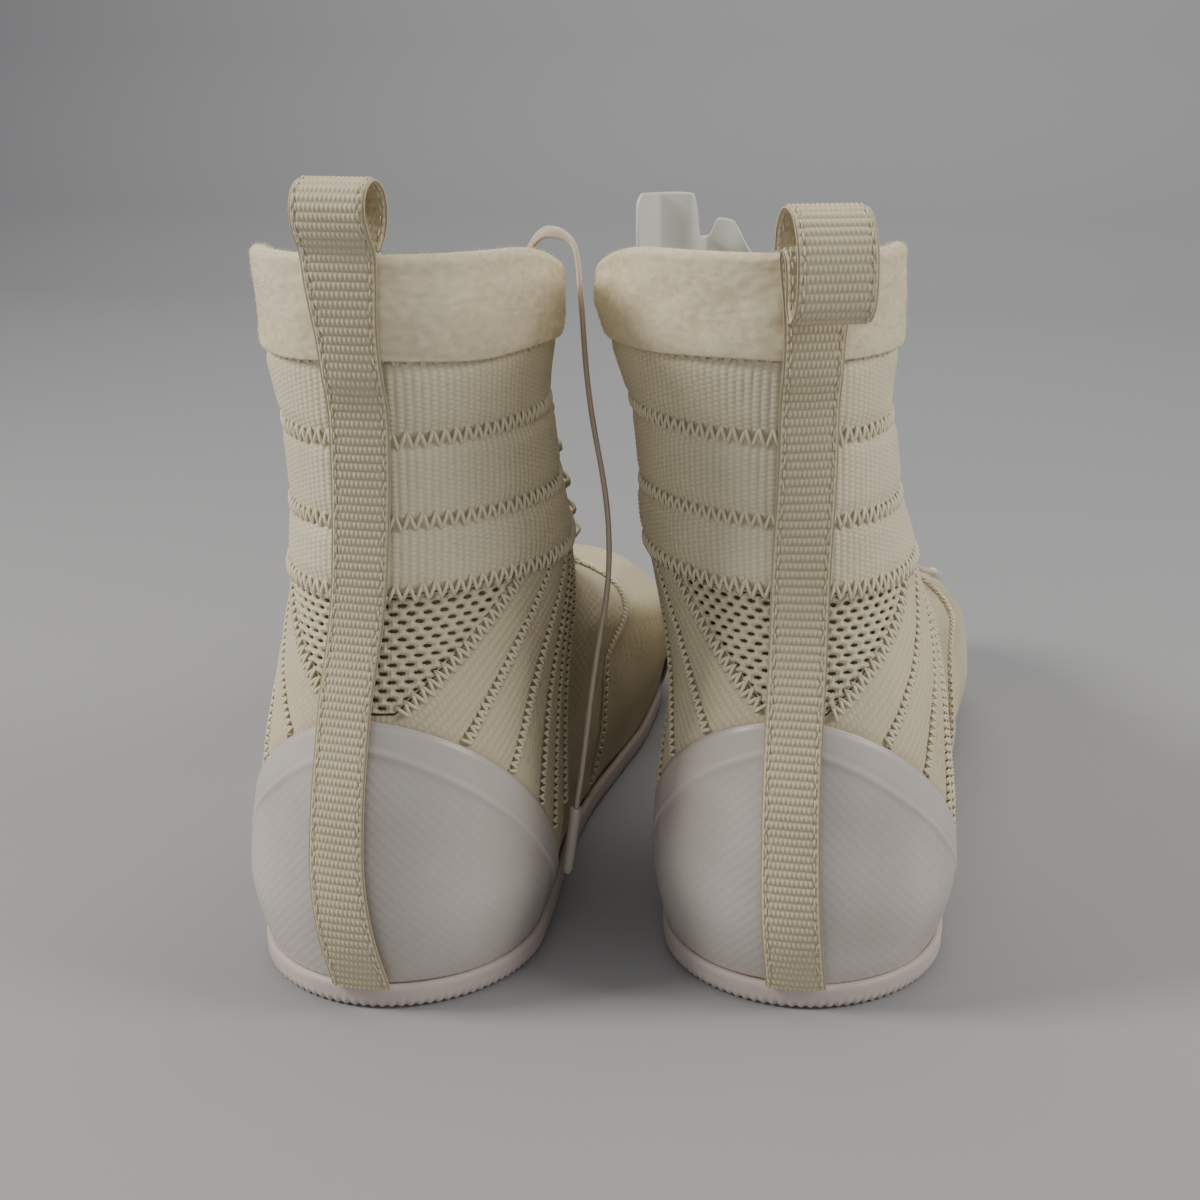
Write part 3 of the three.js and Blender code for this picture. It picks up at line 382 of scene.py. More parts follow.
def fan_place(z, around):
    """Which fan band a place lies in, and how far across it: 0 behind the first seam, then 0 to 5."""
    z, around = np.broadcast_arrays(z, np.abs(around))
    place = np.zeros(z.shape)
    lines = []
    for seam in FAN_SEAMS:
        (r0, z0), (r1, z1) = fan_line(seam, 0.0), fan_line(seam, 1.0)
        lines.append(r0 + (z - z0) * (r1 - r0) / (z1 - z0))
    for k in range(len(lines) - 1):
        inside = (around >= lines[k]) & (around < lines[k + 1])
        share = (around - lines[k]) / np.maximum(lines[k + 1] - lines[k], 1e-6)
        place = np.where(inside, k + share, place)
    return np.where(around >= lines[-1], float(len(lines) - 1), place)


def zigzag(boot, line, rise, tall=4.4, pitch=2.5, seed=0):
    """A zigzag stitch along a line of (height, distance round) places, as points in metres."""
    line = np.array(line, float)
    lift = np.broadcast_to(np.asarray(rise, float), len(line))
    flat = skin.at(line[:, 0], line[:, 1])
    length = np.concatenate([[0], np.cumsum(np.linalg.norm(np.diff(flat, axis=0), axis=1))])
    count = max(2, int(length[-1] / (pitch / 2)))
    rng = np.random.default_rng(seed)
    at = np.linspace(0, length[-1], count + 1)
    z, around = np.interp(at, length, line[:, 0]), np.interp(at, length, line[:, 1])
    dz, dr = np.gradient(z), np.gradient(around)
    norm = np.hypot(dz, dr) + 1e-9
    way = np.where(np.arange(count + 1) % 2 == 0, 1, -1) * tall / 2 * rng.uniform(0.86, 1.1, count + 1)
    z, around = z + way * dr / norm, around - way * dz / norm
    fine = np.linspace(0, count, count * 4 + 1)
    z, around = np.interp(fine, range(count + 1), z), np.interp(fine, range(count + 1), around)
    near = np.abs(fine - np.round(fine))
    height = np.interp(np.interp(fine, range(count + 1), at), length, lift) + 0.25 + 0.5 * near
    height = height - 0.55 * (near < 0.05)
    return stand(boot, skin.at(z, around, height)), stand(boot, skin.at(z, around, height + 1))


def running(boot, line, rise, stitch=2.6, gap=0.7):
    """Straight lockstitches along a line of places: one short route for each stitch."""
    line = np.array(line, float)
    lift = np.broadcast_to(np.asarray(rise, float), len(line))
    flat = skin.at(line[:, 0], line[:, 1])
    length = np.concatenate([[0], np.cumsum(np.linalg.norm(np.diff(flat, axis=0), axis=1))])
    routes = []
    for start in np.arange(0, length[-1] - stitch, stitch + gap):
        at = np.linspace(start, start + stitch, 5)
        height = np.interp(at, length, lift) + np.array([-0.3, 0.12, 0.2, 0.12, -0.3])
        z, around = np.interp(at, length, line[:, 0]), np.interp(at, length, line[:, 1])
        routes.append((stand(boot, skin.at(z, around, height)), stand(boot, skin.at(z, around, height + 1))))
    return routes


def ribs(along, across, pitch=2.1, bump=1.25):
    """Webbing: ribs across the length, each made of small bumps. Height from 0 to 1."""
    row = along / pitch
    crest = np.abs(np.cos(np.pi * row)) ** 0.8
    shift = np.where(np.round(row) % 2 == 0, 0.0, 0.5)
    small = 0.5 + 0.5 * np.cos(2 * np.pi * (across / bump + shift))
    return crest * (0.4 + 0.6 * small)


def dashes(along, across, column=1.95, row=1.25):
    """Woven elastic: upright columns of short shiny dashes. Height from 0 to 1."""
    place = along / column
    odd = np.where(np.floor(place) % 2 == 0, 0.0, 0.5)
    edge = np.abs(np.sin(np.pi * place)) ** 0.55
    dash = 0.5 + 0.5 * np.cos(2 * np.pi * (across / row + odd))
    return edge * (0.45 + 0.55 * dash ** 0.7)


def knit(along, across, wale=1.5, course=1.3):
    """Fine knit: small loops in columns. Height from 0 to 1."""
    a = 0.5 + 0.5 * np.cos(2 * np.pi * along / wale)
    b = 0.5 + 0.5 * np.cos(2 * np.pi * (across / course + 0.35 * np.cos(2 * np.pi * along / wale)))
    return 0.4 * a + 0.6 * a * b


def wander(z, around, seed, scale=30.0, count=5):
    """Slow creases, from about -1 to 1."""
    rng = np.random.default_rng(seed)
    total = np.zeros(np.broadcast(z, around).shape)
    for _ in range(count):
        angle, phase, size = rng.uniform(0, np.pi), rng.uniform(0, 6.28), rng.uniform(0.6, 1.6) * scale
        total = total + np.sin((z * np.cos(angle) + around * np.sin(angle)) * 2 * np.pi / size + phase)
    return total / math.sqrt(count) / 1.4


# ---- materials ------------------------------------------------------------------------------------
def node(tree, kind, **values):
    """A shader node with its settings and its inputs' values."""
    made = tree.nodes.new(kind)
    for key, value in values.items():
        if hasattr(made, key) and key not in made.inputs:
            setattr(made, key, value)
        else:
            made.inputs[key].default_value = value
    return made


def cloth(name, light, shade_colour, roughness, sheen=0.3, grain=1.0, thread=(60.0, 60.0), speck=0.25, depth=0.3,
          coat=0.0):
    """A procedural fabric, film or rubber: thread grain, slow colour change and wear, and painted shade that
    darkens its hollows where the relief attribute is low.
    """
    name = f"{name}_finish"
    if name in bpy.data.materials:
        return bpy.data.materials[name]
    made = bpy.data.materials.new(name)
    made.use_nodes = True
    tree = made.node_tree
    shader = tree.nodes["Principled BSDF"]
    shader.inputs["Sheen Weight"].default_value = sheen
    shader.inputs["Sheen Roughness"].default_value = 0.5
    shader.inputs["Sheen Tint"].default_value = (*light, 1)
    shader.inputs["Coat Weight"].default_value = coat
    shader.inputs["Coat Roughness"].default_value = 0.3
    shader.inputs["Specular IOR Level"].default_value = 0.35
    link = tree.links.new
    place = node(tree, "ShaderNodeTexCoord")
    spread = node(tree, "ShaderNodeMapping")
    spread.inputs["Scale"].default_value = (thread[0], thread[1], 1)
    link(place.outputs["UV"], spread.inputs["Vector"])
    threads = node(tree, "ShaderNodeTexNoise", Scale=1.0, Detail=3.0, Roughness=0.6)
    link(spread.outputs["Vector"], threads.inputs["Vector"])
    slow = node(tree, "ShaderNodeTexNoise", Scale=28.0, Detail=4.0, Roughness=0.55)
    link(place.outputs["Object"], slow.inputs["Vector"])
    fine = node(tree, "ShaderNodeTexNoise", Scale=1400.0, Detail=2.0, Roughness=0.7)
    link(place.outputs["Object"], fine.inputs["Vector"])
    relief = node(tree, "ShaderNodeAttribute", attribute_name="relief")
    # Painted shade: low relief mixes the colour towards the darker of the finish's two colours.
    hollow_shade = node(tree, "ShaderNodeMapRange")
    hollow_shade.inputs["From Min"].default_value = -depth
    hollow_shade.inputs["From Max"].default_value = depth
    link(relief.outputs["Fac"], hollow_shade.inputs["Value"])
    first = node(tree, "ShaderNodeMix", data_type="RGBA")
    first.inputs[6].default_value = (*shade_colour, 1)
    first.inputs[7].default_value = (*light, 1)
    share = node(tree, "ShaderNodeMath", operation="MULTIPLY_ADD", use_clamp=True)
    share.inputs[1].default_value = 0.55
    link(hollow_shade.outputs["Result"], share.inputs[0])
    mix = node(tree, "ShaderNodeMath", operation="MULTIPLY_ADD", use_clamp=True)
    mix.inputs[1].default_value = speck
    mix.inputs[2].default_value = 0.5 - speck / 2
    link(threads.outputs["Fac"], mix.inputs[0])
    link(mix.outputs["Value"], share.inputs[2])
    link(share.outputs["Value"], first.inputs[0])
    second = node(tree, "ShaderNodeMix", data_type="RGBA", blend_type="MULTIPLY")
    tint = node(tree, "ShaderNodeValToRGB")
    tint.color_ramp.elements[0].position, tint.color_ramp.elements[1].position = 0.3, 0.7
    tint.color_ramp.elements[0].color = (0.9, 0.885, 0.86, 1)
    tint.color_ramp.elements[1].color = (1, 1, 1, 1)
    link(slow.outputs["Fac"], tint.inputs["Fac"])
    second.inputs[0].default_value = 1.0
    link(first.outputs[2], second.inputs[6])
    link(tint.outputs["Color"], second.inputs[7])
    link(second.outputs[2], shader.inputs["Base Color"])
    rough = node(tree, "ShaderNodeMapRange")
    rough.inputs["To Min"].default_value = max(0.05, roughness - 0.12)
    rough.inputs["To Max"].default_value = min(1.0, roughness + 0.12)
    link(slow.outputs["Fac"], rough.inputs["Value"])
    link(rough.outputs["Result"], shader.inputs["Roughness"])
    both = node(tree, "ShaderNodeMath", operation="ADD")
    link(threads.outputs["Fac"], both.inputs[0])
    link(fine.outputs["Fac"], both.inputs[1])
    bump = node(tree, "ShaderNodeBump", Strength=min(1.0, grain), Distance=0.00004)
    link(both.outputs["Value"], bump.inputs["Height"])
    link(bump.outputs["Normal"], shader.inputs["Normal"])
    return made


def looks():
    """Every finish of the boots by the name of its slot."""
    # Each finish's second colour is painted shade, mixed in where its relief is low.
    return {
        "knit": cloth("knit", (0.70, 0.625, 0.45), (0.38, 0.325, 0.205), 0.85, 0.12, 0.7, (14, 14), 0.3),
        "mesh": cloth("mesh", (0.72, 0.65, 0.47), (0.40, 0.345, 0.225), 0.7, 0.12, 0.7, (20, 20), 0.3),
        "webbing": cloth("webbing", (0.72, 0.64, 0.455), (0.33, 0.275, 0.165), 0.6, 0.12, 0.6, (30, 8), 0.3),
        "elastic": cloth("elastic", (0.77, 0.70, 0.52), (0.37, 0.315, 0.20), 0.48, 0.08, 0.5, (30, 8), 0.3),
        "thread": cloth("thread", (0.80, 0.73, 0.55), (0.64, 0.57, 0.40), 0.5, 0.1, 0.5, (60, 3), 0.3),
        "fleece": cloth("fleece", (0.80, 0.71, 0.51), (0.60, 0.51, 0.34), 1.0, 0.25, 0.9, (9, 9), 0.4),
        "film": cloth("film", (0.62, 0.575, 0.535), (0.46, 0.42, 0.385), 0.36, 0.0, 0.1, (5, 5), 0.2, 0.4,
                      0.2),
        "rubber": cloth("rubber", (0.66, 0.575, 0.54), (0.50, 0.42, 0.385), 0.5, 0.1, 0.3, (8, 8), 0.3),
        "tongue_cloth": cloth("tongue_cloth", (0.72, 0.735, 0.70), (0.62, 0.63, 0.59), 0.5, 0.1, 0.2,
                              (20, 20), 0.2),
        "lace_cord": cloth("lace_cord", (0.72, 0.615, 0.50), (0.46, 0.37, 0.28), 0.6, 0.12, 0.7, (40, 6),
                           0.4),
        "lining_cloth": cloth("lining_cloth", (0.60, 0.54, 0.41), (0.42, 0.365, 0.26), 0.95, 0.2, 0.9,
                              (12, 12), 0.4),
        "foam": cloth("foam", (0.66, 0.64, 0.57), (0.50, 0.48, 0.42), 0.95, 0.3, 0.9, (30, 30), 0.5),
        "board": cloth("board", (0.47, 0.43, 0.36), (0.33, 0.30, 0.24), 0.9, 0.0, 0.6, (10, 40), 0.5),
        "aglet_plastic": cloth("aglet_plastic", (0.74, 0.68, 0.60), (0.62, 0.56, 0.48), 0.22, 0.0, 0.1,
                               (6, 6), 0.2, 0.3, 0.5),
    }


def dress(obj, look, body, replaces=()):
    """Gives a piece its finish, the body it rides on and the CAD pieces it stands for."""
    obj.data.materials.append(looks()[look])
    if body:
        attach(obj, body)
    if replaces:
        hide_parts(*replaces)
    return obj


# ---- the upper --------------------------------------------------------------------------------------
def grid(low, high, step):
    """Even places from low to high, about a step apart."""
    return np.linspace(low, high, max(2, int(round((high - low) / step)) + 1))


def graded(end, fine, coarse, change=75.0, start=0.0):
    """Distances from start to end: fine steps near the heel, coarser ones beyond a distance."""
    near = grid(start, min(change, end), fine)
    return near if end <= change else np.concatenate([near, grid(change, end, coarse)[1:]])


def both_ways(columns):
    """Columns from one side's end round the heel to the other's, as shares of each side's half."""
    shares = columns / columns[-1]
    return np.concatenate([-shares[:0:-1], shares])


def make_quarters(boot, fine):
    """The knit side panels: a fan of woven and knit bands with dots, and zigzag seams between them."""
    body = f"{boot}_boot"
    threads = []
    for side, name in ((1, "medial"), (-1, "lateral")):
        rows = np.linspace(0, 1, int(100 / fine) + 1)
        columns = graded(190, fine, fine * 2.2)
        columns = columns / columns[-1]
        front = SKIN_BOTTOM + (HEM - SKIN_BOTTOM) * rows[:, None]
        edge = skin.half(front, side) - 0.3 - vamp_reach(front[:, 0], side)[:, None]
        around = edge * columns[None, :]
        top = quarter_top(around) - 0.3
        z = SKIN_BOTTOM + (top - SKIN_BOTTOM) * rows[:, None]
        place = fan_place(z, around)
        share = place - np.floor(place)
        groove = np.exp(-(np.minimum(share, 1 - share) * 13) ** 2) * (place > 0)
        along = around * 0.77 + z * 0.64
        across = -around * 0.64 + z * 0.77
        woven = dashes(across, along, 2.3, 1.3) * 0.42
        looped = knit(around, z) * 0.22
        bulge = 0.55 * np.sin(np.pi * share) * (place > 0)
        behind = counter_top(around) - z
        holes = perforation(around, z) * smooth(2, 2.4, place) * smooth(3, 6, z - counter_top(around))
        relief = np.where(place < 2, np.where(place > 0, woven, looped), looped)
        relief = relief + bulge - 0.6 * groove - 0.55 * holes
        relief = relief + 0.35 * wander(z, around, 5 + side, 34) * smooth(0, 20, -behind)
        relief = relief * smooth(-1.5, 2.5, -behind) - 0.25 + 0.15 * looped
        # Painted shade: darker in the dents of the weave and knit, in the perforation dots and along the seam
        # grooves.
        painted_shade = np.where((place < 2) & (place > 0), woven - 0.2, looped - 0.1) - 0.5 * holes - 0.12 * groove
        obj = panel(boot, f"{name}_quarter_cloth", z, side * around, 0.0, -SKIN_THICKNESS, relief, None, painted_shade)
        dress(obj, "knit", body, replaces=[f"{boot}_{name}_quarter"])
        for n, fan in enumerate(FAN_SEAMS):
            t = np.linspace(0, 1, 40)
            r, height = fan_line(fan, t)
            line = np.stack([height, side * r], axis=1)
            threads.append(zigzag(boot, line, 0.2, 3.6 if n else 4.4, 2.1 if n else 2.6, seed=n))
    obj = tubes(f"{boot}_quarter_stitching", threads, 0.5 * MM, 6, 0.7)
    dress(obj, "thread", body)


def side_round_to(z, side, y):
    """Distance round from the heel at which one side's outline reaches y."""
    _, ys, reach = outline(z, side)
    return float(np.interp(y, ys, reach))


def vamp_reach(heights, side):
    """How far round from the front the vamp's edge lies at each height, on one side."""
    heights = np.asarray(heights, float)
    spots = [side_round_to(float(z), side, VAMP_SEAM_START + VAMP_SEAM_SLOPE * float(z)) for z in heights]
    spread = skin.half(heights, side) - np.array(spots)
    return OPENING_HALF + (spread - OPENING_HALF) * (1 - smooth(VAMP_SEAM_TURN, THROAT, heights))


def perforation(around, z, pitch=3.2, radius=0.55):
    """Rows of tiny round dots on a slant. 1 in the middle of a dot, 0 outside it."""
    a = (around * 0.8 + z * 0.6) / pitch
    b = (-around * 0.6 + z * 0.8) / (pitch * 1.25)
    row = np.round(b)
    da = (a + 0.5 * (row % 2)) - np.round(a + 0.5 * (row % 2))
    d = np.hypot(da * pitch, (b - row) * pitch * 1.25)
    return 1 - smooth(radius * 0.6, radius * 1.3, d)


def make_gussets(boot, fine):
    """The open mesh triangles over the heel counter, with a real hole in each of their cells."""
    body = f"{boot}_boot"
    for side, name in ((1, "medial"), (-1, "lateral")):
        around = grid(0.1, GUSSET_REACH - 1, fine * 0.6)[None, :]
        rows = np.linspace(0, 1, int(32 / (fine * 0.6)))[:, None]
        low = quarter_top(around) + 0.3
        z = low + (HEM - 0.3 - low) * rows
        a, b = around / 4.3 + 0 * z, z / 2.05
        row = np.round(b)
        da = (a + 0.5 * (row % 2)) - np.round(a + 0.5 * (row % 2))
        d = np.hypot(da * 4.3 / 1.4, (b - row) * 2.05 / 0.66)
        inside = np.minimum(np.minimum(around - 1, HEM - 0.9 - z), z - low - 0.6) > 0
        hole = (d < 1) & inside
        cell = ~(hole[:-1, :-1] & hole[1:, 1:] & hole[:-1, 1:] & hole[1:, :-1])
        rib = smooth(0.9, 1.8, d) * 0.5 - 0.35 + 0.2 * knit(around, z, 0.9, 0.9)
        bulge = 0.25 * np.sin(np.pi * rows)
        obj = panel(boot, f"{name}_gusset_net", z, side * around, 0.0, -1.0, rib + bulge, cell)
        dress(obj, "mesh", body, replaces=[f"{boot}_{name}_gusset"])


def round_back(z_low, z_high, inset, fine, coarse):
    """A grid round the heel between two edges that both depend on the share round."""
    shares = both_ways(graded(100, fine, coarse, 60))
    rows = np.linspace(0, 1, max(3, int((np.max(z_high(0.0)) - z_low) / fine) + 1))[:, None]
    z = z_low + (z_high(np.abs(shares))[None, :] - z_low) * rows
    end = skin.half(z, shares[None, :]) - inset
    return z, shares[None, :] * end, rows


def make_bands(boot, fine):
    """The three woven elastic bands round the ankle and the zigzag seams along their edges."""
    body = f"{boot}_boot"
    threads = []
    seed = 1 if boot == "left" else 2
    for k, level in enumerate(("lower", "middle", "upper")):
        low, high = BAND_EDGES[k], BAND_EDGES[k + 1]
        z, around, rows = round_back(low - 0.3, lambda s: high + 0.3 + 0 * s, STAY_EDGE, fine * 0.75, fine)
        pinch = np.minimum(rows, 1 - rows) * (high - low)
        weave = dashes(around, z) * 0.5 * smooth(0.6, 2.2, pinch)
        bulge = 0.8 * smooth(0, 5.5, pinch) - 0.6
        slack = 0.55 * wander(z, around, 10 * seed + k, 46) * smooth(0, 6, pinch)
        # The last argument paints shade into the dents of the weave.
        obj = panel(boot, f"{level}_ankle_elastic", z, around, 1.7, 0.7, weave + bulge + slack, None,
                    weave - 0.22)
        dress(obj, "elastic", body, replaces=[f"{boot}_{level}_ankle_band"])
    for k, level in enumerate((HEM + 0.6, *BAND_EDGES[1:3], COLLAR_SEAM - 0.2)):
        for side in (1, -1):
            end = float(skin.half(level, side)) - STAY_EDGE - 1.5
            around = np.linspace(0.5, end, 90)
            height = level + 0.5 * wander(np.full(90, level), around, 30 + k, 60)
            line = np.stack([height, side * around], axis=1)
            threads.append(zigzag(boot, line, 1.7, 4.4, 3.1, seed=20 + k))
    obj = tubes(f"{boot}_band_stitching", threads, 0.5 * MM, 6, 0.7)
    dress(obj, "thread", body)


def make_shaft(boot, fine):
    """The plain stretch knit under the bands."""
    body = f"{boot}_boot"
    z, around, _ = round_back(HEM, lambda s: collar_top(s) - 1, OPENING_HALF + 0.3, fine * 1.6, fine * 1.6)
    relief = 0.25 * knit(around, z) - 0.15 + 0.25 * wander(z, around, 3, 40)
    obj = panel(boot, "shaft_knit", z, around, 0.0, -SKIN_THICKNESS, relief)
    dress(obj, "knit", body, replaces=[f"{boot}_shaft"])


def make_counter(boot, fine):
    """The moulded film round the heel, with an arched ridge and shallow dents."""
    body = f"{boot}_boot"
    step = fine * 1.3
    around = np.concatenate([-graded(COUNTER_REACH, step, step)[:0:-1], graded(COUNTER_REACH, step, step)])
    rows = np.linspace(0, 1, int(68 / step) + 1)[:, None]
    crown = counter_top(around)[None, :]
    z = OVERLAY_BOTTOM + (crown - OVERLAY_BOTTOM) * rows
    reach = np.abs(around)[None, :]
    ridge_z = 68 - 28.5 * np.clip(reach / 48, 0, 3) ** 1.55
    off = z - ridge_z
    ridge = 0.5 * np.exp(-(off / 1.1) ** 2) + 0.35 * smooth(0, 2.5, off)
    edge = np.minimum(crown - z, COUNTER_REACH - reach)
    weave = 0.035 * (np.sin((around[None, :] + z) * 2.1) + np.sin((around[None, :] - z) * 2.1))
    seed = 7 if boot == "left" else 9
    dents = 0.35 * wander(z, around[None, :], seed, 38) * smooth(2, 14, edge)
    relief = (ridge + weave * smooth(-2, 6, -off) + dents - 0.5 * (1 - smooth(0, 1.6, edge)))
    relief = relief * smooth(0, 1.5, edge + 0.5) - 0.2
    obj = panel(boot, "heel_counter_film", z, around[None, :], 1.0, 0.1, relief)
    dress(obj, "film", body, replaces=[f"{boot}_heel_counter"])


# Shares of the way round the collar's section: where its rounded top starts and ends.
ROLL_START = 0.52
ROLL_END = 0.72


def make_collar(boot, fine):
    """A felted roll: over the outside, round the top edge and down into the shaft."""
    body = f"{boot}_boot"
    shares = both_ways(graded(100, fine * 1.4, fine * 1.6, 60))[None, :]
    turn = np.linspace(0, 1, 90)[:, None]
    top = collar_top(np.abs(shares))
    seed = 3 if boot == "left" else 4
    outside = np.clip(turn / ROLL_START, 0, 1)
    over = np.clip((turn - ROLL_START) / (ROLL_END - ROLL_START), 0, 1)
    inside = np.clip((turn - ROLL_END) / (1 - ROLL_END), 0, 1)
    radius = 2.3
    hem = COLLAR_SEAM - 1.1 + 0.6 * wander(0 * shares, shares * 100, 60 + seed, 50)
    lift = hem + (top - radius - hem) * outside
    z = lift + radius * np.sin(np.pi * over) - (17 * inside)
    depth_out = 2.3 + 1.4 * np.sin(np.pi * np.clip(outside * 0.93 + 0.07, 0, 1)) ** 0.7
    ease = smooth(ROLL_START - 0.12, ROLL_START, turn)
    depth = depth_out * (1 - ease) + 2.6 * ease
    depth = np.where(over > 0, 0.2 + 2.4 * np.cos(np.pi * over), depth)
    depth = np.where(inside > 0, -2.2 - 1.2 * smooth(0, 0.5, inside), depth)
    end = skin.half(z, shares) - STAY_EDGE + 0.6
    around = shares * end
    felt = np.random.default_rng(seed).normal(0, 1, z.shape)
    for _ in range(2):
        felt = (felt + np.roll(felt, 1, 0) + np.roll(felt, -1, 0) + np.roll(felt, 1, 1)
                + np.roll(felt, -1, 1)) / 5
    soft = (1.7 * wander(z * 0.6, around, 40 + seed, 62) + 0.5 * wander(z, around, 50 + seed, 19))
    soft = soft * np.sin(np.pi * np.clip(outside, 0.04, 0.9)) + 0.7 * (1 - smooth(0.02, 0.35, outside))
    relief = 0.2 * felt + soft * (inside == 0)
    front_edge = (1 - np.abs(shares)) * 100
    relief = relief - 1.2 * (1 - smooth(0, 3, front_edge))
    top_points = stand(boot, skin.at(z, around, depth + relief))
    core = skin.at(np.minimum(z, top - 1.8), around, np.clip(depth * 0.45 + 0.1, -2.4, 1.6))
    uv = np.stack([around, z + 30 * (inside > 0)], axis=-1) / 10
    obj = slab(f"{boot}_collar_fleece", top_points, stand(boot, core), uv, 0.5 * felt)
    dress(obj, "fleece", body, replaces=[f"{boot}_collar", f"{boot}_collar_foam"])
    lay_fibres(boot, z, around, depth + relief, turn, seed)


def lay_fibres(boot, z, around, off, turn, seed):
    """Short felt fibres standing off the collar, so that its outline is soft."""
    rng = np.random.default_rng(seed)
    count = 9000
    i = rng.integers(1, z.shape[0] - 2, count)
    j = rng.integers(2, z.shape[1] - 2, count)
    base = skin.at(z[i, j], around[i, j], off[i, j] - 0.2)
    normal = skin.at(z[i, j], around[i, j], off[i, j] + 0.8) - base
    share = np.clip((turn[i, 0] - ROLL_START) / (ROLL_END - ROLL_START), 0, 1)[:, None]
    up = np.array([0, 0, 1.0])
    way = normal * np.cos(np.pi * share) + up * np.sin(np.pi * share) + rng.normal(0, 0.9, (count, 3))
    way /= np.linalg.norm(way, axis=1, keepdims=True)
    bend = rng.normal(0, 0.35, (count, 3))
    length = rng.uniform(0.5, 1.3, count)[:, None]
    mid = base + way * length * 0.5
    tip = mid + (way * 0.5 + bend * 0.5) * length
    width = np.cross(way, rng.normal(0, 1, (count, 3)))
    width /= np.linalg.norm(width, axis=1, keepdims=True)
    width *= 0.045
    points = np.stack([base - width, base + width, mid + width * 0.8, mid - width * 0.8, tip], axis=1)
    index = np.arange(count)[:, None] * 5
    faces = [tuple(f) for corners in ([0, 1, 2, 3], [3, 2, 4]) for f in index + np.array(corners)]
    points = stand(boot, points.reshape(-1, 3))
    obj = new_object(f"{boot}_collar_fibres", points, faces, np.tile([0.5, 0.5], (len(points), 1)))
    dress(obj, "fleece", f"{boot}_boot")


def make_front(boot, fine):
    """The vamp over the forefoot, the toe cap, the two eyestays and the lining inside."""
    body = f"{boot}_boot"
    step = fine * 2
    rows = grid(SKIN_BOTTOM, THROAT - 0.3, step)
    columns = np.linspace(-1, 1, int(240 / step))
    edge = {side: vamp_reach(rows, side)[:, None] for side in (1, -1)}
    across = np.where(columns[None, :] > 0, edge[1], edge[-1]) * columns[None, :]
    z = np.broadcast_to(rows[:, None], across.shape)
    around = skin.from_front(z, across)
    holes = perforation(np.abs(across), z, 3.4, 0.6) * smooth(34, 40, z)
    relief = 0.2 * knit(across, z) - 0.1 - 0.5 * holes + 0.3 * wander(z, across, 11, 50)
    obj = panel(boot, "vamp_knit", z, around, 0.0, -SKIN_THICKNESS, relief)
    dress(obj, "knit", body, replaces=[f"{boot}_vamp"])

    share = np.linspace(-1, 1, int(150 / step))[None, :]
    rise = np.linspace(0, 1, int(30 / step) + 2)[:, None]
    crown = 34 * (1 - 0.5 * share ** 2)
    z = 8.2 + (crown - 8.2) * rise
    around = skin.from_front(crown + 0 * z, 78 * share + 0 * z)
    edge = np.minimum(crown - z, 78 * (1 - np.abs(share)))
    obj = panel(boot, "toe_cap_film", z, around, 2.0, 1.15, 0.15 * smooth(0, 1.5, edge) - 0.2
                + 0.1 * wander(z, around, 4, 30))
    dress(obj, "film", body, replaces=[f"{boot}_toe_cap"])

    threads = []
    for side, name in ((1, "medial"), (-1, "lateral")):
        z = grid(70, COLLAR_TOP - COLLAR_DIP - 1, step * 0.8)[:, None]
        across = (OPENING_HALF + 0.3 + grid(0, EYESTAY_WIDTH, 0.5))[None, :] + 0 * z
        inset = np.minimum(across - OPENING_HALF, OPENING_HALF + EYESTAY_WIDTH - across)
        relief = 0.15 * knit(across, z) - 0.3 * (1 - smooth(0, 1, inset)) - 0.1
        obj = panel(boot, f"{name}_eyestay_cloth", z + 0 * across, skin.from_front(z + 0 * across,
                    side * across), 1.6, 0.6, relief)
        dress(obj, "knit", body, replaces=[f"{boot}_{name}_eyestay"])
        for inset in (1.6, EYESTAY_WIDTH - 1.4):
            height = np.linspace(72, COLLAR_TOP - COLLAR_DIP - 3, 60)
            line = np.stack([height, skin.from_front(height, side * (OPENING_HALF + inset))], axis=1)
            threads += running(boot, line, 1.7)
        height = np.linspace(10, THROAT - 4, 50)
        edge = skin.half(height, side) - vamp_reach(height, side)
        threads.append(zigzag(boot, np.stack([height, side * edge], axis=1), 0.2, 3.4, 2.4))
    obj = tubes(f"{boot}_front_stitching", threads, 0.33 * MM, 5)
    dress(obj, "thread", body)

    rows = grid(5.1, COLLAR_TOP - 2.6, 2.0)[:, None]
    shares = np.linspace(-1, 1, 260)[None, :]
    dip = (COLLAR_TOP - collar_top(np.abs(shares))) * smooth(HEM, COLLAR_TOP, rows)
    z = rows - dip
    around = shares * (skin.half(z, shares) - 0.15 - 14 * smooth(THROAT - 6, THROAT + 8, z))
    slack = -2 * smooth(36, 50, z) * (1 - smooth(62, 76, z))
    obj = panel(boot, "lining_cloth", z, around, -3.75 + slack, -4.75 + slack, 0.1 * wander(z, around, 8))
    dress(obj, "lining_cloth", body, replaces=[f"{boot}_lining"])


# Height of each tongue's top edge over distances across it, the inner side positive.
TONGUE_EDGE = {
    "left": through([(-52, 180), (-49, 192), (-44, 195), (-38, 188), (-30, 179), (-10, 176), (10, 177),
                     (29, 172)]),
    "right": through([(-29, 170), (-20, 181), (-14, 188), (-9, 188.5), (-5, 184), (-1, 184), (3, 191),
                      (7, 194.5), (28, 195.5), (34, 193), (36, 186)]),
}


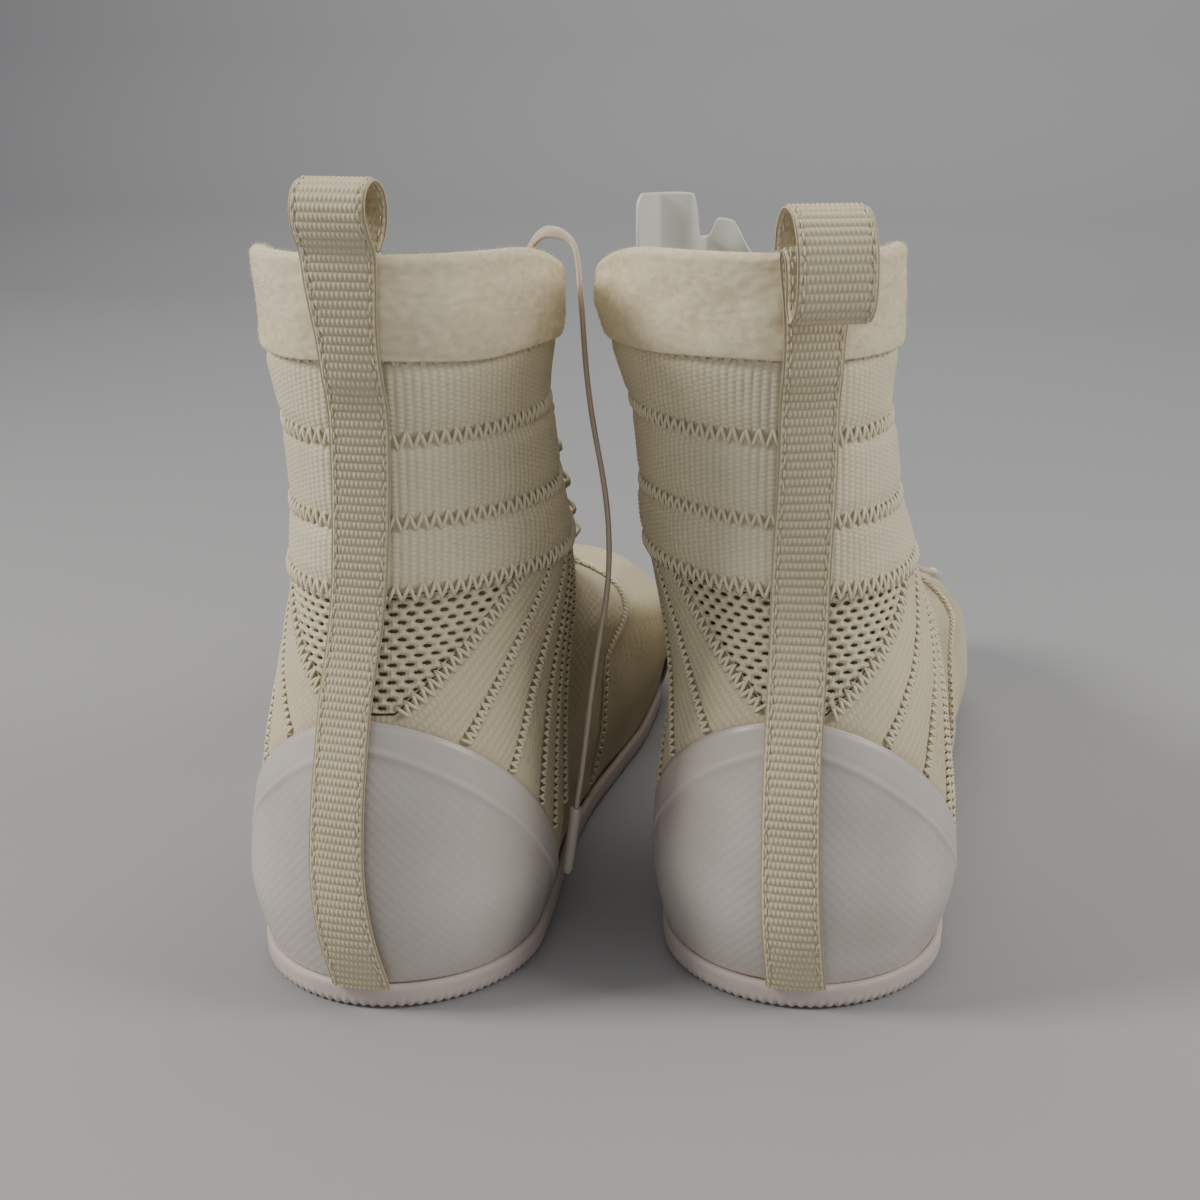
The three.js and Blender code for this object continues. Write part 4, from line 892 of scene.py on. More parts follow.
def make_tongue(boot, fine):
    """The tongue inside the throat, with its thin top edge curling up out of the collar."""
    step = fine * 1.6
    rise = np.linspace(0, 1, int(112 / step))[:, None]
    share = np.linspace(-1, 1, int(66 / step))[None, :]
    low = THROAT + 4
    level = low + (COLLAR_TOP - low) * rise
    reach = 14 + 15 * smooth(low, low + 45, level) + 0 * share
    if boot == "left":
        reach = np.where(share < 0, reach + 22 * smooth(140, 172, level), reach)
    else:
        reach = np.where(share > 0, reach + 7 * smooth(140, 172, level), reach)
    across = share * reach
    z = low + (TONGUE_EDGE[boot](across) - low) * rise
    up = smooth(162, 190, z)
    curl = {"left": 1.5 * np.sin(across / 9.0), "right": 3.4 * np.sin((across + 4) / 7.5)}[boot]
    around = skin.from_front(z, across)
    inward = -5.8 - up * (1.6 + np.abs(curl) * 0.8 + curl)
    wing = smooth(29, 36, -across) if boot == "left" else 0
    inward = inward * (1 - wing) - 5.6 * wing
    ridges = 0.16 * np.cos(across * 2 * np.pi / 5.5) * (1 - up)
    top = stand(boot, skin.at(z, around, inward + ridges))
    bottom = stand(boot, skin.at(z, around, inward - 1.3 + 0.5 * up))
    uv = np.stack([across, z], axis=-1) / 10
    obj = slab(f"{boot}_tongue_cloth", top, bottom, uv, ridges)
    dress(obj, "tongue_cloth", None, replaces=[f"{boot}_tongue"])
    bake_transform(obj)


# The pull loops' side views: distance forward of the heel and height over the collar's edge.
STANDING = [(4.2, -3), (3.6, 1), (1.0, 5), (-0.2, 10.4), (1.4, 14.8), (5.2, 16.6), (9, 14.6), (10.6, 10),
            (9.6, 5), (6.9, 1.0)]
FLOPPED = [(4.2, -3), (2.6, 1.2), (-0.6, -0.2), (-2.3, -5), (-3, -11), (-6, -14), (-9.2, -11), (-10, -4),
           (-8.6, 4), (-4.4, 9.6), (1.4, 10.6), (5.4, 6.8), (6.6, 1.0)]


def round_line(points, step):
    """A smooth line through points (centripetal spline), sampled about every step."""
    points = np.array(points, float)
    ends = np.concatenate([[2 * points[0] - points[1]], points, [2 * points[-1] - points[-2]]])
    gap = np.linalg.norm(np.diff(ends, axis=0), axis=1) ** 0.5 + 1e-9
    knots = np.concatenate([[0], np.cumsum(gap)])
    line = []
    for i in range(1, len(ends) - 2):
        t0, t1, t2, t3 = knots[i - 1:i + 3]
        count = max(2, int(np.linalg.norm(ends[i + 1] - ends[i]) / step))
        for t in np.linspace(t1, t2, count, endpoint=False):
            a1 = (t1 - t) / (t1 - t0) * ends[i - 1] + (t - t0) / (t1 - t0) * ends[i]
            a2 = (t2 - t) / (t2 - t1) * ends[i] + (t - t1) / (t2 - t1) * ends[i + 1]
            a3 = (t3 - t) / (t3 - t2) * ends[i + 1] + (t - t2) / (t3 - t2) * ends[i + 2]
            b1 = (t2 - t) / (t2 - t0) * a1 + (t - t0) / (t2 - t0) * a2
            b2 = (t3 - t) / (t3 - t1) * a2 + (t - t1) / (t3 - t1) * a3
            line.append((t2 - t) / (t2 - t1) * b1 + (t - t1) / (t2 - t1) * b2)
    return np.array([*line, points[-1]])


def even(line, step):
    """The same line with its points at even steps."""
    length = np.concatenate([[0], np.cumsum(np.linalg.norm(np.diff(line, axis=0), axis=1))])
    at = np.linspace(0, length[-1], max(2, int(length[-1] / step)))
    return np.stack([np.interp(at, length, line[:, k]) for k in range(line.shape[1])], axis=1)


# How far the webbing wanders sideways (to the right) along its length from the sole.
STRAP_SWAY = {
    "left": through([(0, -1.2), (38, -6), (69, -5), (108, -1.2), (140, 0), (170, -1.5), (182, -2)]),
    "right": through([(0, 2.3), (33, 0.3), (69, -0.3), (103, 0), (135, 1), (170, 0.5), (182, 0)]),
}


# How far each pull loop turns, in radians.
LOOP_TURN = {"left": -0.2, "right": 0.0}


def turned(boot, x, y, z, length):
    """The loop turns a little to one side as it leaves the collar."""
    angle = LOOP_TURN[boot] * smooth(172, 196, length)
    return np.stack([x * np.cos(angle) - (y - 5) * np.sin(angle),
                     x * np.sin(angle) + (y - 5) * np.cos(angle) + 5, z + 0 * x], axis=-1)


def follow(z, x, sway, length):
    """How far forward the webbing lies when it wanders sideways over the round heel."""
    back = skin.at(z, x + sway)[..., 1] - skin.at(z, x)[..., 1]
    return back * (1 - smooth(160, 178, length))


def make_webbing(boot, fine):
    """One run of ribbed webbing: up the heel, over the collar and round the pull loop."""
    z = grid(RIM_TOP + 1, COLLAR_TOP - 4.5, 1.0)
    lift = 3.2 + 1.6 * smooth(COLLAR_SEAM - 12, COLLAR_SEAM - 3, z)
    lift = lift - 0.9 * (1 - smooth(8, 20, z)) + 0.35 * np.sin(z / 9.0)
    spine = skin.at(z, np.zeros_like(z), lift)[:, 1:]
    loop = STANDING if boot == "left" else FLOPPED
    loop_line = round_line([(y, COLLAR_TOP + rise) for y, rise in loop], 0.6)
    line = even(round_line(np.concatenate([spine[::4], loop_line[1::3]]), 0.4), fine * 0.62)
    length = np.concatenate([[0], np.cumsum(np.linalg.norm(np.diff(line, axis=0), axis=1))])
    tangent = np.gradient(line, axis=0)
    tangent /= np.linalg.norm(tangent, axis=1, keepdims=True)
    normal = np.stack([-tangent[:, 1], tangent[:, 0]], axis=1)
    wide = STRAP_WIDTH + (LOOP_WIDTH - STRAP_WIDTH) * smooth(160, 190, length)
    share = np.linspace(-1, 1, int(STRAP_WIDTH / (fine * 0.55)))
    x = share[None, :] * wide[:, None] / 2
    inset = (1 - np.abs(share))[None, :] * wide[:, None] / 2
    rib = ribs(length[:, None], x, 2.05, 1.15)
    round_edge = smooth(-0.1, 0.8, inset)
    seam = np.exp(-((inset - 1.5) / 0.35) ** 2)
    relief = (0.5 * rib * smooth(0.3, 1.0, inset) - 0.25) - 0.3 * seam
    out = 0.62 * round_edge + relief
    back = -0.62 * round_edge - relief
    bow = 0.35 * np.cos(x / wide[:, None] * np.pi) * (1 - smooth(165, 185, length))[:, None]
    sway = STRAP_SWAY[boot](length)[:, None] * BOOTS[boot]["inner"]

    lean = follow(line[:, 1:] + 0 * x, x, sway + 0 * x, length[:, None])

    def sides(off):
        y = line[:, :1] + normal[:, :1] * (off + bow) + lean
        zed = line[:, 1:] + normal[:, 1:] * (off + bow)
        return stand(boot, turned(boot, x + sway, y, zed, length[:, None]))
    uv = np.stack([x, np.broadcast_to(length[:, None], x.shape)], axis=-1) / 10
    obj = slab(f"{boot}_heel_webbing", sides(out), sides(back), uv, relief)
    dress(obj, "webbing", None, replaces=[f"{boot}_heel_strap", f"{boot}_pull_loop"])
    bend_loop(obj)
    routes = []
    for side in (1, -1):
        for start in np.arange(3, length[-1] - 4, 3.1):
            at = np.linspace(start, start + 2.4, 5)
            y, zed = np.interp(at, length, line[:, 0]), np.interp(at, length, line[:, 1])
            ny, nz = np.interp(at, length, normal[:, 0]), np.interp(at, length, normal[:, 1])
            off = np.array([0.2, 0.62, 0.7, 0.62, 0.2]) + 0.09 * (1 - smooth(165, 185, at))
            edge = side * (np.interp(at, length, wide) / 2 - 1.5)
            aside = STRAP_SWAY[boot](at) * BOOTS[boot]["inner"]
            lean = follow(zed, edge, aside, at)
            edge = edge + aside
            for face in (1, -1) if start > 185 else (1,):
                routes.append(tuple(
                    stand(boot, turned(boot, edge, y + lean + ny * (off + more) * face,
                                       zed + nz * (off + more) * face, at)) for more in (0, 1)))
    obj = tubes(f"{boot}_webbing_stitching", routes, 0.2 * MM, 5)
    dress(obj, "thread", None)
    bend_loop(obj)


def bend_loop(obj):
    """Bakes the piece's placing into its points."""
    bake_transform(obj)


# ---- laces ------------------------------------------------------------------------------------------
# Distances off the skin: the tapes' undersides, the lace inside the loops and the ends that lie on the boot.
LOOP_BASE = 2.5
LOOP_RISE = LOOP_BASE + 3.4
HANG_RISE = 4.0
# Stops of a draped end: height, distance across the opening and distance off the skin.
DRAPED = [(LACE_LAST + 8.5, 19, LOOP_RISE + 3), (LACE_LAST + 5, 26, HANG_RISE + 3.8),
          (LACE_LAST - 6, 30, HANG_RISE + 2.6), (LACE_LAST - 26, 32, HANG_RISE + 0.8),
          (LACE_LAST - 46, 34, HANG_RISE), (LACE_LAST - 66, 37, HANG_RISE), (LACE_LAST - 84, 43, HANG_RISE),
          (LACE_LAST - 98, 50, HANG_RISE)]
# Stops of the end that arches over the collar and hangs free, in the straight boot's own directions.
HANGING = [(22, 103, 181.5), (28, 97, 186), (35.5, 92.5, 183.5), (38, 91, 170), (39.5, 90, 150),
           (41, 86, 128), (42.5, 80, 106), (45, 74, 86), (46, 70, 66), (45, 68, 46), (43, 67, 30)]


def level_height(level):
    return LACE_FIRST + (LACE_LAST - LACE_FIRST) * level / (LACE_LEVELS - 1)


def over_opening(z, across, rise):
    """A place over the lace opening, with the directions up it and out of it."""
    def spot(height, out):
        return skin.at(height, skin.from_front(height, across), out)
    at = spot(z, rise)
    out = at - spot(z, rise - 1)
    up = spot(z + 1, rise) - at
    return at, out / np.linalg.norm(out), up / np.linalg.norm(up), float(np.linalg.norm(up))


def ridge_above(point, z, rise):
    """The place on the opening's middle line that is level with a point."""
    for _ in range(4):
        at, _, up, slope = over_opening(z, 0.0, rise)
        z -= float(np.dot(at - point, up)) / slope
    return over_opening(z, 0.0, rise)


def strand(start_side):
    """One strand of the lace from its bottom loop up, changing side at every level."""
    spots, outs = [], []
    for level in range(LACE_LEVELS):
        side = start_side if level % 2 == 0 else -start_side
        z = level_height(level)
        at, out, up, _ = over_opening(z, side * LOOP_ACROSS, LOOP_RISE)
        inward = over_opening(z, 0.0, LOOP_RISE)[0] - at
        inward /= np.linalg.norm(inward)
        spots += [at - up * 2.9 + inward * 1.2, at, at + up * 2.9 + inward * 1.2]
        outs += [out] * 3
        if level + 1 < LACE_LEVELS:
            following = over_opening(level_height(level + 1), -side * LOOP_ACROSS, LOOP_RISE)[0]
            rise = LOOP_RISE + (3.4 if start_side > 0 else 0.7)
            spot = ridge_above((at + following) / 2, z, rise)
            spots.append(spot[0])
            outs.append(spot[1])
    return spots, outs


def laced_route():
    """The whole laced part: down one strand, across the bottom bar and up the other."""
    lowest = over_opening(LACE_FIRST, LOOP_ACROSS, LOOP_RISE)
    inside = lowest[0] - lowest[2] * 6
    inside[0] = float(centre_shift(inside[1] / BOOT_LENGTH))
    bar = ridge_above(inside, LACE_FIRST, LOOP_RISE)
    left, right = strand(-1), strand(1)
    spots = [*left[0][::-1], bar[0], *right[0]]
    outs = [*left[1][::-1], bar[1], *right[1]]
    return fine_route(spots, outs, 0.8)


def fine_route(spots, outs, step):
    """A smooth line with an outward direction at each of its points."""
    spots, outs = np.array(spots), np.array(outs, float)
    both = even(np.concatenate([round_line(spots, step), spline_with(spots, outs, step)], axis=1), step)
    ups = both[:, 3:]
    return both[:, :3], ups / np.linalg.norm(ups, axis=1, keepdims=True)


def spline_with(points, values, step):
    """Values eased along the same samples that round_line takes through points."""
    ends = np.concatenate([[2 * points[0] - points[1]], points, [2 * points[-1] - points[-2]]])
    rows = []
    for i in range(1, len(ends) - 2):
        count = max(2, int(np.linalg.norm(ends[i + 1] - ends[i]) / step))
        for t in np.linspace(0, 1, count, endpoint=False):
            rows.append(values[i - 1] * (1 - t) + values[i] * t)
    return np.array([*rows, values[-1]])


def free_end(laced, side, hanging):
    """A free end: from one end of the laced part through its stops."""
    route, ups = laced
    at, before, out = (route[0], route[2], ups[0]) if side < 0 else (route[-1], route[-3], ups[-1])
    way = (at - before) / np.linalg.norm(at - before)
    start = at + way * 0.3
    stops, outs = [start, start + way * 3.5], [out, out]
    if hanging:
        stops += [np.array(p, float) for p in HANGING]
        outs += [np.array([1, 0.2, 0.0]) / math.hypot(1, 0.2)] * len(HANGING)
    else:
        for z, across, rise in DRAPED:
            spot = over_opening(z, side * across, rise)
            stops.append(spot[0])
            outs.append(spot[1])
    return fine_route(stops, outs, 0.8)


def ribbon(name, boot, route, ups, wide, thick):
    """A flat woven lace along a route: a ribbed oval section with rounded edges."""
    line = stand(boot, route)
    tip = stand(boot, route + ups)
    up = tip - line
    tangent = np.gradient(line, axis=0)
    tangent /= np.linalg.norm(tangent, axis=1, keepdims=True)
    across = np.cross(tangent, up)
    across /= np.linalg.norm(across, axis=1, keepdims=True)
    out = np.cross(across, tangent)
    length = np.concatenate([[0], np.cumsum(np.linalg.norm(np.diff(line, axis=0), axis=1))]) / MM
    sides = 14
    angle = 2 * np.pi * (np.arange(sides) + 0.5) / sides
    weave = 0.5 + 0.5 * np.cos(2 * np.pi * (length[:, None] / 1.7 + 0.5 * (np.arange(sides) % 2)[None, :]))
    swell = 1 + 0.13 * (weave - 0.5)
    a = np.sign(np.cos(angle)) * np.abs(np.cos(angle)) ** 0.75 * wide / 2
    b = np.sign(np.sin(angle)) * np.abs(np.sin(angle)) ** 0.75 * thick / 2
    points = (line[:, None] + (across[:, None] * (a[None, :] * (0.97 + 0.03 * weave))[..., None]
                               + out[:, None] * (b[None, :] * swell)[..., None]) * MM)
    count = len(line)
    index = np.arange(count * sides).reshape(count, sides)
    nxt = np.roll(index, -1, axis=1)
    faces = [tuple(f) for f in np.stack([index[:-1], nxt[:-1], nxt[1:], index[1:]], axis=-1).reshape(-1, 4)]
    faces += [tuple(index[0][::-1]), tuple(index[-1])]
    uv = np.stack([np.broadcast_to(length[:, None] / 10, weave.shape),
                   np.broadcast_to(angle[None, :], weave.shape)], axis=-1).reshape(-1, 2)
    # Painted shade: the weave's dents are darker.
    obj = new_object(name, points.reshape(-1, 3), faces, uv, ((weave - 0.5) * 0.6).ravel())
    return obj, line


def make_laces(boot):
    """The laced part, its two free ends and their tips."""
    body = f"{boot}_boot"
    laced = laced_route()
    obj, _ = ribbon(f"{boot}_lace_cloth", boot, *laced, 3.4, 1.5)
    dress(obj, "lace_cord", body, replaces=[f"{boot}_lace"])
    for side, name in ((-1, "lateral"), (1, "medial")):
        route, ups = free_end(laced, side, boot == "left" and side > 0)
        obj, line = ribbon(f"{boot}_{name}_end_cloth", boot, route, ups, 3.3, 1.5)
        dress(obj, "lace_cord", body, replaces=[f"{boot}_{name}_lace_end"])
        tip = make_aglet(f"{boot}_{name}_aglet_tip", line)
        dress(tip, "aglet_plastic", body, replaces=[f"{boot}_{name}_aglet"])


def make_aglet(name, line):
    """The lace's moulded tip: a round sleeve, crimped twice and closed at its end."""
    way = line[-1] - line[-4]
    way /= np.linalg.norm(way)
    profile = [(0, 0), (0, 1.55), (0.4, 1.7), (3, 1.62), (4.2, 1.5), (5.4, 1.62), (12, 1.6), (13.2, 1.48),
               (14.4, 1.6), (18.6, 1.55), (19.6, 1.25), (20, 0.7), (20, 0)]
    across = np.cross(way, (0.3, 1.0, 0.1))
    across /= np.linalg.norm(across)
    out = np.cross(across, way)
    start = line[-1] + way * 0.0003
    sides = 20
    points, faces = [start], []
    for at, radius in profile[1:-1]:
        for k in range(sides):
            angle = 2 * math.pi * k / sides
            points.append(start + (way * at + (across * math.cos(angle) + out * math.sin(angle))
                                   * radius) * MM)
    points.append(start + way * AGLET_LENGTH * MM)
    rings = len(profile) - 2
    for r in range(rings - 1):
        for k in range(sides):
            a, b = 1 + r * sides + k, 1 + r * sides + (k + 1) % sides
            faces.append((a, b, b + sides, a + sides))
    last = 1 + (rings - 1) * sides
    for k in range(sides):
        n = (k + 1) % sides
        faces.append((0, 1 + n, 1 + k))
        faces.append((len(points) - 1, last + k, last + n))
    return new_object(name, np.array(points), faces, np.tile([0.3, 0.3], (len(points), 1)))


def make_lace_loops(boot, fine):
    """Ribbed tape strips down both sides of the opening, and the lace loops woven into them."""
    body = f"{boot}_boot"
    for side, name in ((1, "medial"), (-1, "lateral")):
        z = grid(LACE_FIRST - 3, LACE_LAST + 3, fine * 1.6)[:, None]
        across = (OPENING_HALF + 1 + grid(0, 9, 0.5))[None, :] + 0 * z
        relief = 0.3 * ribs(z, across, 1.6, 1.2) - 0.15
        around = skin.from_front(z + 0 * across, side * across)
        parts = [panel(boot, f"{name}_loop_tape", z + 0 * across, around, LOOP_BASE + 0.9, LOOP_BASE, relief)]
        points, faces, uvs = [], [], []
        for level in range(LACE_LEVELS):
            at, out, up, _ = over_opening(level_height(level), side * LOOP_ACROSS, LOOP_RISE)
            across_way = np.cross(up, out)
            turn = np.linspace(0, 2 * np.pi, 48, endpoint=False)
            wide = np.sign(np.cos(turn)) * np.abs(np.cos(turn)) ** 0.55 * 6.5
            deep = np.sign(np.sin(turn)) * np.abs(np.sin(turn)) ** 0.55 * 2.9
            ring = at + across_way * wide[:, None] + out * deep[:, None]
            outward = across_way * (wide / 6.5)[:, None] + out * (deep / 2.9)[:, None]
            outward /= np.linalg.norm(outward, axis=1, keepdims=True)
            section = [(-1.3, -0.35), (-0.4, -0.5), (0.4, -0.5), (1.3, -0.35), (1.3, 0.35), (0.4, 0.5),
                       (-0.4, 0.5), (-1.3, 0.35)]
            start = sum(len(p) for p in points)
            rib = 0.12 * np.cos(np.arange(48) * np.pi)[:, None]
            made = np.stack([ring + up * s + outward * (t + (rib if t > 0 else 0)) for s, t in section],
                            axis=1)
            points.append(made.reshape(-1, 3))
            index = start + np.arange(48 * 8).reshape(48, 8)
            after = np.roll(index, -1, axis=0)
            beside, corner = np.roll(index, -1, axis=1), np.roll(after, -1, axis=1)
            faces.append(np.stack([index, beside, corner, after], axis=-1).reshape(-1, 4))
            uvs.append(np.tile([0.4, 0.4], (48 * 8, 1)))
        obj = new_object(f"{boot}_{name}_loop_rings", stand(boot, np.concatenate(points)),
                         np.concatenate(faces), np.concatenate(uvs))
        for part in (*parts, obj):
            dress(part, "webbing", body, replaces=[f"{boot}_{name}_lace_loops"])


# ---- sole and insides -------------------------------------------------------------------------------
def make_outsole(boot, fine):
    """The rubber sole: a thin rim that wraps the upper, a serrated lower edge and a shallow tread."""
    body = f"{boot}_boot"
    step = fine * 1.1
    columns = np.concatenate([-graded(1.0, 1 / 560, 1 / 560)[:0:-1], graded(1.0, 1 / 560, 1 / 560)[:-1]])
    profile = [(0.2, 6.1), (0.6, 6.5), (1.4, 6.6), (2.15, 6.3), (2.4, 5.6), (2.45, 4.6), (2.3, 3.6),
               (2.35, 2.7), (2.4, 1.9), (2.3, 1.2), (1.9, 0.5), (1.1, 0.1), (-1.5, 0.05)]
    half = skin.half(RIM_TOP, columns)
    around = columns * half
    base = skin.at(np.full_like(around, RIM_TOP), around)
    out = skin.at(np.full_like(around, RIM_TOP), around, 1.0) - base
    out[:, 2] = 0
    out /= np.linalg.norm(out, axis=1, keepdims=True)
    teeth = 0.5 + 0.5 * np.cos(2 * np.pi * around / 2.3)
    rings = []
    for off, z in profile:
        cut = teeth * (0.75 if z < 2.5 else 0) * (off > 0)
        line = np.array(base)
        line += out * (off - 0.55 * cut)[:, None]
        line[:, 2] = z + 0.5 * cut * (z < 1.5)
        rings.append(line)
    rings = np.array(rings)
    inside = [(0.55, 5.4), (0.9, 5.6), (1.3, 5.6), (1.2, 5.3), (1.0, 5.0), (1.0, 4.4), (1.0, 3.5),
              (1.0, 2.9), (1.0, 2.6), (1.0, 2.3), (0.9, 2.0), (0.5, 1.6), (-1.5, 1.4)]
    inner = np.array([base + out * off for off, _ in inside])
    inner[:, :, 2] = np.array([z for _, z in inside])[:, None]
    heights = np.array([z for _, z in profile])[:, None]
    uv = np.stack(np.broadcast_arrays(around[None, :], heights), axis=-1) / 10
    obj = slab(f"{boot}_rubber_rim", stand(boot, rings), stand(boot, inner), uv, None, None, True)
    dress(obj, "rubber", body, replaces=[f"{boot}_outsole"])

    count = len(grid(2, BOOT_LENGTH - 2, step * 1.6))
    heel, front = float(heel_line(RIM_TOP)), BOOT_LENGTH * float(front_share(RIM_TOP))
    ys = heel + (front - heel) * (1 - np.cos(np.linspace(0.02, np.pi - 0.02, count))) / 2
    share = np.linspace(-1, 1, 150)
    along = ys / BOOT_LENGTH
    wide = (half_width(RIM_TOP) * width_share(along) * rounded(ys - heel, heel_round(RIM_TOP))
            * rounded(front - ys, front_round(RIM_TOP))) - 0.4
    x = wide[:, None] * share[None, :] + centre_shift(along)[:, None]
    y = ys[:, None] + 0 * x
    chevron = np.abs(np.mod((y + np.abs(x) * 0.6) / 6.0, 1) - 0.5) * 2
    arch = smooth(95, 110, y) * (1 - smooth(135, 150, y))
    groove = (1 - smooth(0.12, 0.3, chevron)) * (1 - arch) * smooth(0, 4, wide[:, None] * (1 - np.abs(share)))
    low = np.stack([x, y, 0.1 + 1.1 * groove], axis=-1)
    high = np.stack([x, y, np.full_like(x, SOLE_FLOOR - 0.1)], axis=-1)
    uv = np.stack([x, y], axis=-1) / 10
    # Painted shade: the tread's grooves are darker.
    obj = slab(f"{boot}_rubber_tread", stand(boot, low), stand(boot, high), uv, -groove * 0.3)
    dress(obj, "rubber", body, replaces=[f"{boot}_outsole"])


def finish_insides(boot):
    """The board, sockliner and stiffener keep their made shapes and get their own materials."""
    for name, look in (("insole_board", "board"), ("sockliner", "foam"), ("heel_stiffener", "board")):
        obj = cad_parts[f"{boot}_{name}"]
        obj.data.materials.clear()
        obj.data.materials.append(looks()[look])


# ---- stage --------------------------------------------------------------------------------------------
def aim(obj, target):
    """Turns a lamp to face a place."""
    obj.rotation_euler = (Vector(target) - obj.location).to_track_quat("-Z", "Y").to_euler()


def soft_light(name, place, target, size, power, colour=(1, 1, 1)):
    lamp = bpy.data.lights.new(name, "AREA")
    lamp.shape = "RECTANGLE"
    lamp.size, lamp.size_y = size
    lamp.energy = power
    lamp.color = colour
    obj = bpy.data.objects.new(name, lamp)
    obj.location = place
    bpy.context.scene.collection.objects.link(obj)
    aim(obj, target)


def make_stage(settings):
    """The pale curved floor, the light from all round, the lamps and the camera."""
    points, faces = [], []
    profile = [(-3.0, 0.0), (1.4, 0.0), (1.9, 0.06), (2.2, 0.3), (2.35, 0.8), (2.4, 3.0)]
    for y, z in profile:
        points += [(-4.0, y, z), (4.0, y, z)]
    for k in range(len(profile) - 1):
        faces.append((2 * k, 2 * k + 1, 2 * k + 3, 2 * k + 2))
    mesh = bpy.data.meshes.new("pale_floor")
    mesh.from_pydata(points, [], faces)
    mesh.polygons.foreach_set("use_smooth", np.full(len(faces), True))
    floor = bpy.data.objects.new("pale_floor", mesh)
    bpy.context.scene.collection.objects.link(floor)
    made = bpy.data.materials.new("pale_floor")
    made.use_nodes = True
    shader = made.node_tree.nodes["Principled BSDF"]
    shader.inputs["Base Color"].default_value = (settings.floor_tone,) * 2 + (settings.floor_tone * 1.02, 1)
    shader.inputs["Roughness"].default_value = 0.85
    mesh.materials.append(made)
    world = bpy.data.worlds.new("studio")
    world.use_nodes = True
    world.node_tree.nodes["Background"].inputs["Color"].default_value = (0.93, 0.96, 1.0, 1)
    world.node_tree.nodes["Background"].inputs["Strength"].default_value = settings.fill_light
    bpy.context.scene.world = world
    middle = (0.0, -0.06, 0.1)
    power = settings.lamp_power
    soft_light("left_lamp", (-0.95, -0.4, 0.75), middle, (0.3, 0.4), power * 1.1, (1, 0.965, 0.9))
    soft_light("right_lamp", (0.95, -0.1, 0.65), middle, (0.4, 0.5), power * 0.6, (1, 0.965, 0.9))
    soft_light("wall_lamp", (0.0, 0.9, 1.6), (0.0, 2.4, 0.7), (2.0, 0.8), power * 2.2)
    soft_light("top_lamp", (0.0, 0.1, 1.3), middle, (0.8, 0.6), power * 0.5, (1, 0.98, 0.95))
    soft_light("front_lamp", (0.1, -1.3, 0.5), middle, (0.9, 0.5), power * 0.16, (0.97, 0.98, 1))
    camera = bpy.data.cameras.new("camera")
    camera.lens = settings.lens
    camera.sensor_width = 36
    camera.clip_start = 0.01
    obj = bpy.data.objects.new("camera", camera)
    obj.location = CAMERA_PLACE
    turn, down = math.radians(settings.camera_turn), math.radians(settings.camera_down)
    way = Vector((-math.sin(turn) * math.cos(down), math.cos(turn) * math.cos(down), -math.sin(down)))
    obj.rotation_euler = way.to_track_quat("-Z", "Y").to_euler()
    bpy.context.scene.collection.objects.link(obj)
    bpy.context.scene.camera = obj


# ---- add-on -------------------------------------------------------------------------------------------
class BootSettings(bpy.types.PropertyGroup):
    """How finely the boots' surfaces are made."""
    fineness: FloatProperty(name="Surface step", description="Distance between surface points in millimetres",
                            default=0.42, min=0.2, max=2.0)


class StageSettings(bpy.types.PropertyGroup):
    """The camera, floor and lights."""
    lens: FloatProperty(name="Lens", description="Camera lens length", default=51.5, min=10, max=200,
                        subtype="DISTANCE_CAMERA")
    camera_turn: FloatProperty(name="Camera turn", description="Degrees that the camera looks to the left",
                               default=11.5)
    camera_down: FloatProperty(name="Camera tilt", description="Degrees that the camera looks down",
                               default=16.3)
    lamp_power: FloatProperty(name="Lamp power", description="Power of the side lamps", default=11.0, min=0,
                              unit="POWER")
    fill_light: FloatProperty(name="Fill light", description="Strength of the light from all round",
                              default=0.24, min=0)
    floor_tone: FloatProperty(name="Floor tone", description="How pale the floor is", default=0.33, min=0,
                              max=1, subtype="FACTOR")


def fineness(context):
    """The surface step in use."""
    return context.scene.boot_settings.fineness * 1.0


class PieceOperator:
    """Runs one maker for both boots."""
    bl_options = {"REGISTER"}
    makers = ()

    def execute(self, context):
        for boot in BOOTS:
            for maker in self.makers:
                maker(boot, fineness(context))
        return {"FINISHED"}


class BOOTS_OT_quarters(PieceOperator, bpy.types.Operator):
    """Builds the knit quarters with their fan of stitched bands, and the mesh gussets"""
    bl_idname = "boots.quarters"
    bl_label = "Quarters and gussets"
    makers = (make_quarters, make_gussets)


class BOOTS_OT_shaft(PieceOperator, bpy.types.Operator):
    """Builds the shaft's knit and its three elastic ankle bands"""
    bl_idname = "boots.shaft"
    bl_label = "Shaft and bands"
    makers = (make_shaft, make_bands)


class BOOTS_OT_collar(PieceOperator, bpy.types.Operator):
    """Builds the felted collar"""
    bl_idname = "boots.collar"
    bl_label = "Collar"
    makers = (make_collar,)


class BOOTS_OT_counter(PieceOperator, bpy.types.Operator):
    """Builds the moulded heel counter"""
    bl_idname = "boots.counter"
    bl_label = "Heel counter"
    makers = (make_counter,)


class BOOTS_OT_front(PieceOperator, bpy.types.Operator):
    """Builds the vamp, toe cap, eyestays, lining and tongue"""
    bl_idname = "boots.front"
    bl_label = "Front and tongue"
    makers = (make_front, make_tongue)


class BOOTS_OT_webbing(PieceOperator, bpy.types.Operator):
    """Builds the heel webbing with its pull loop"""
    bl_idname = "boots.webbing"
    bl_label = "Heel webbing"
    makers = (make_webbing,)


class BOOTS_OT_laces(bpy.types.Operator):
    """Builds the lace loops, the laces and their tips"""
    bl_idname = "boots.laces"
    bl_label = "Laces"

    def execute(self, context):
        for boot in BOOTS:
            make_lace_loops(boot, fineness(context))
            make_laces(boot)
        return {"FINISHED"}


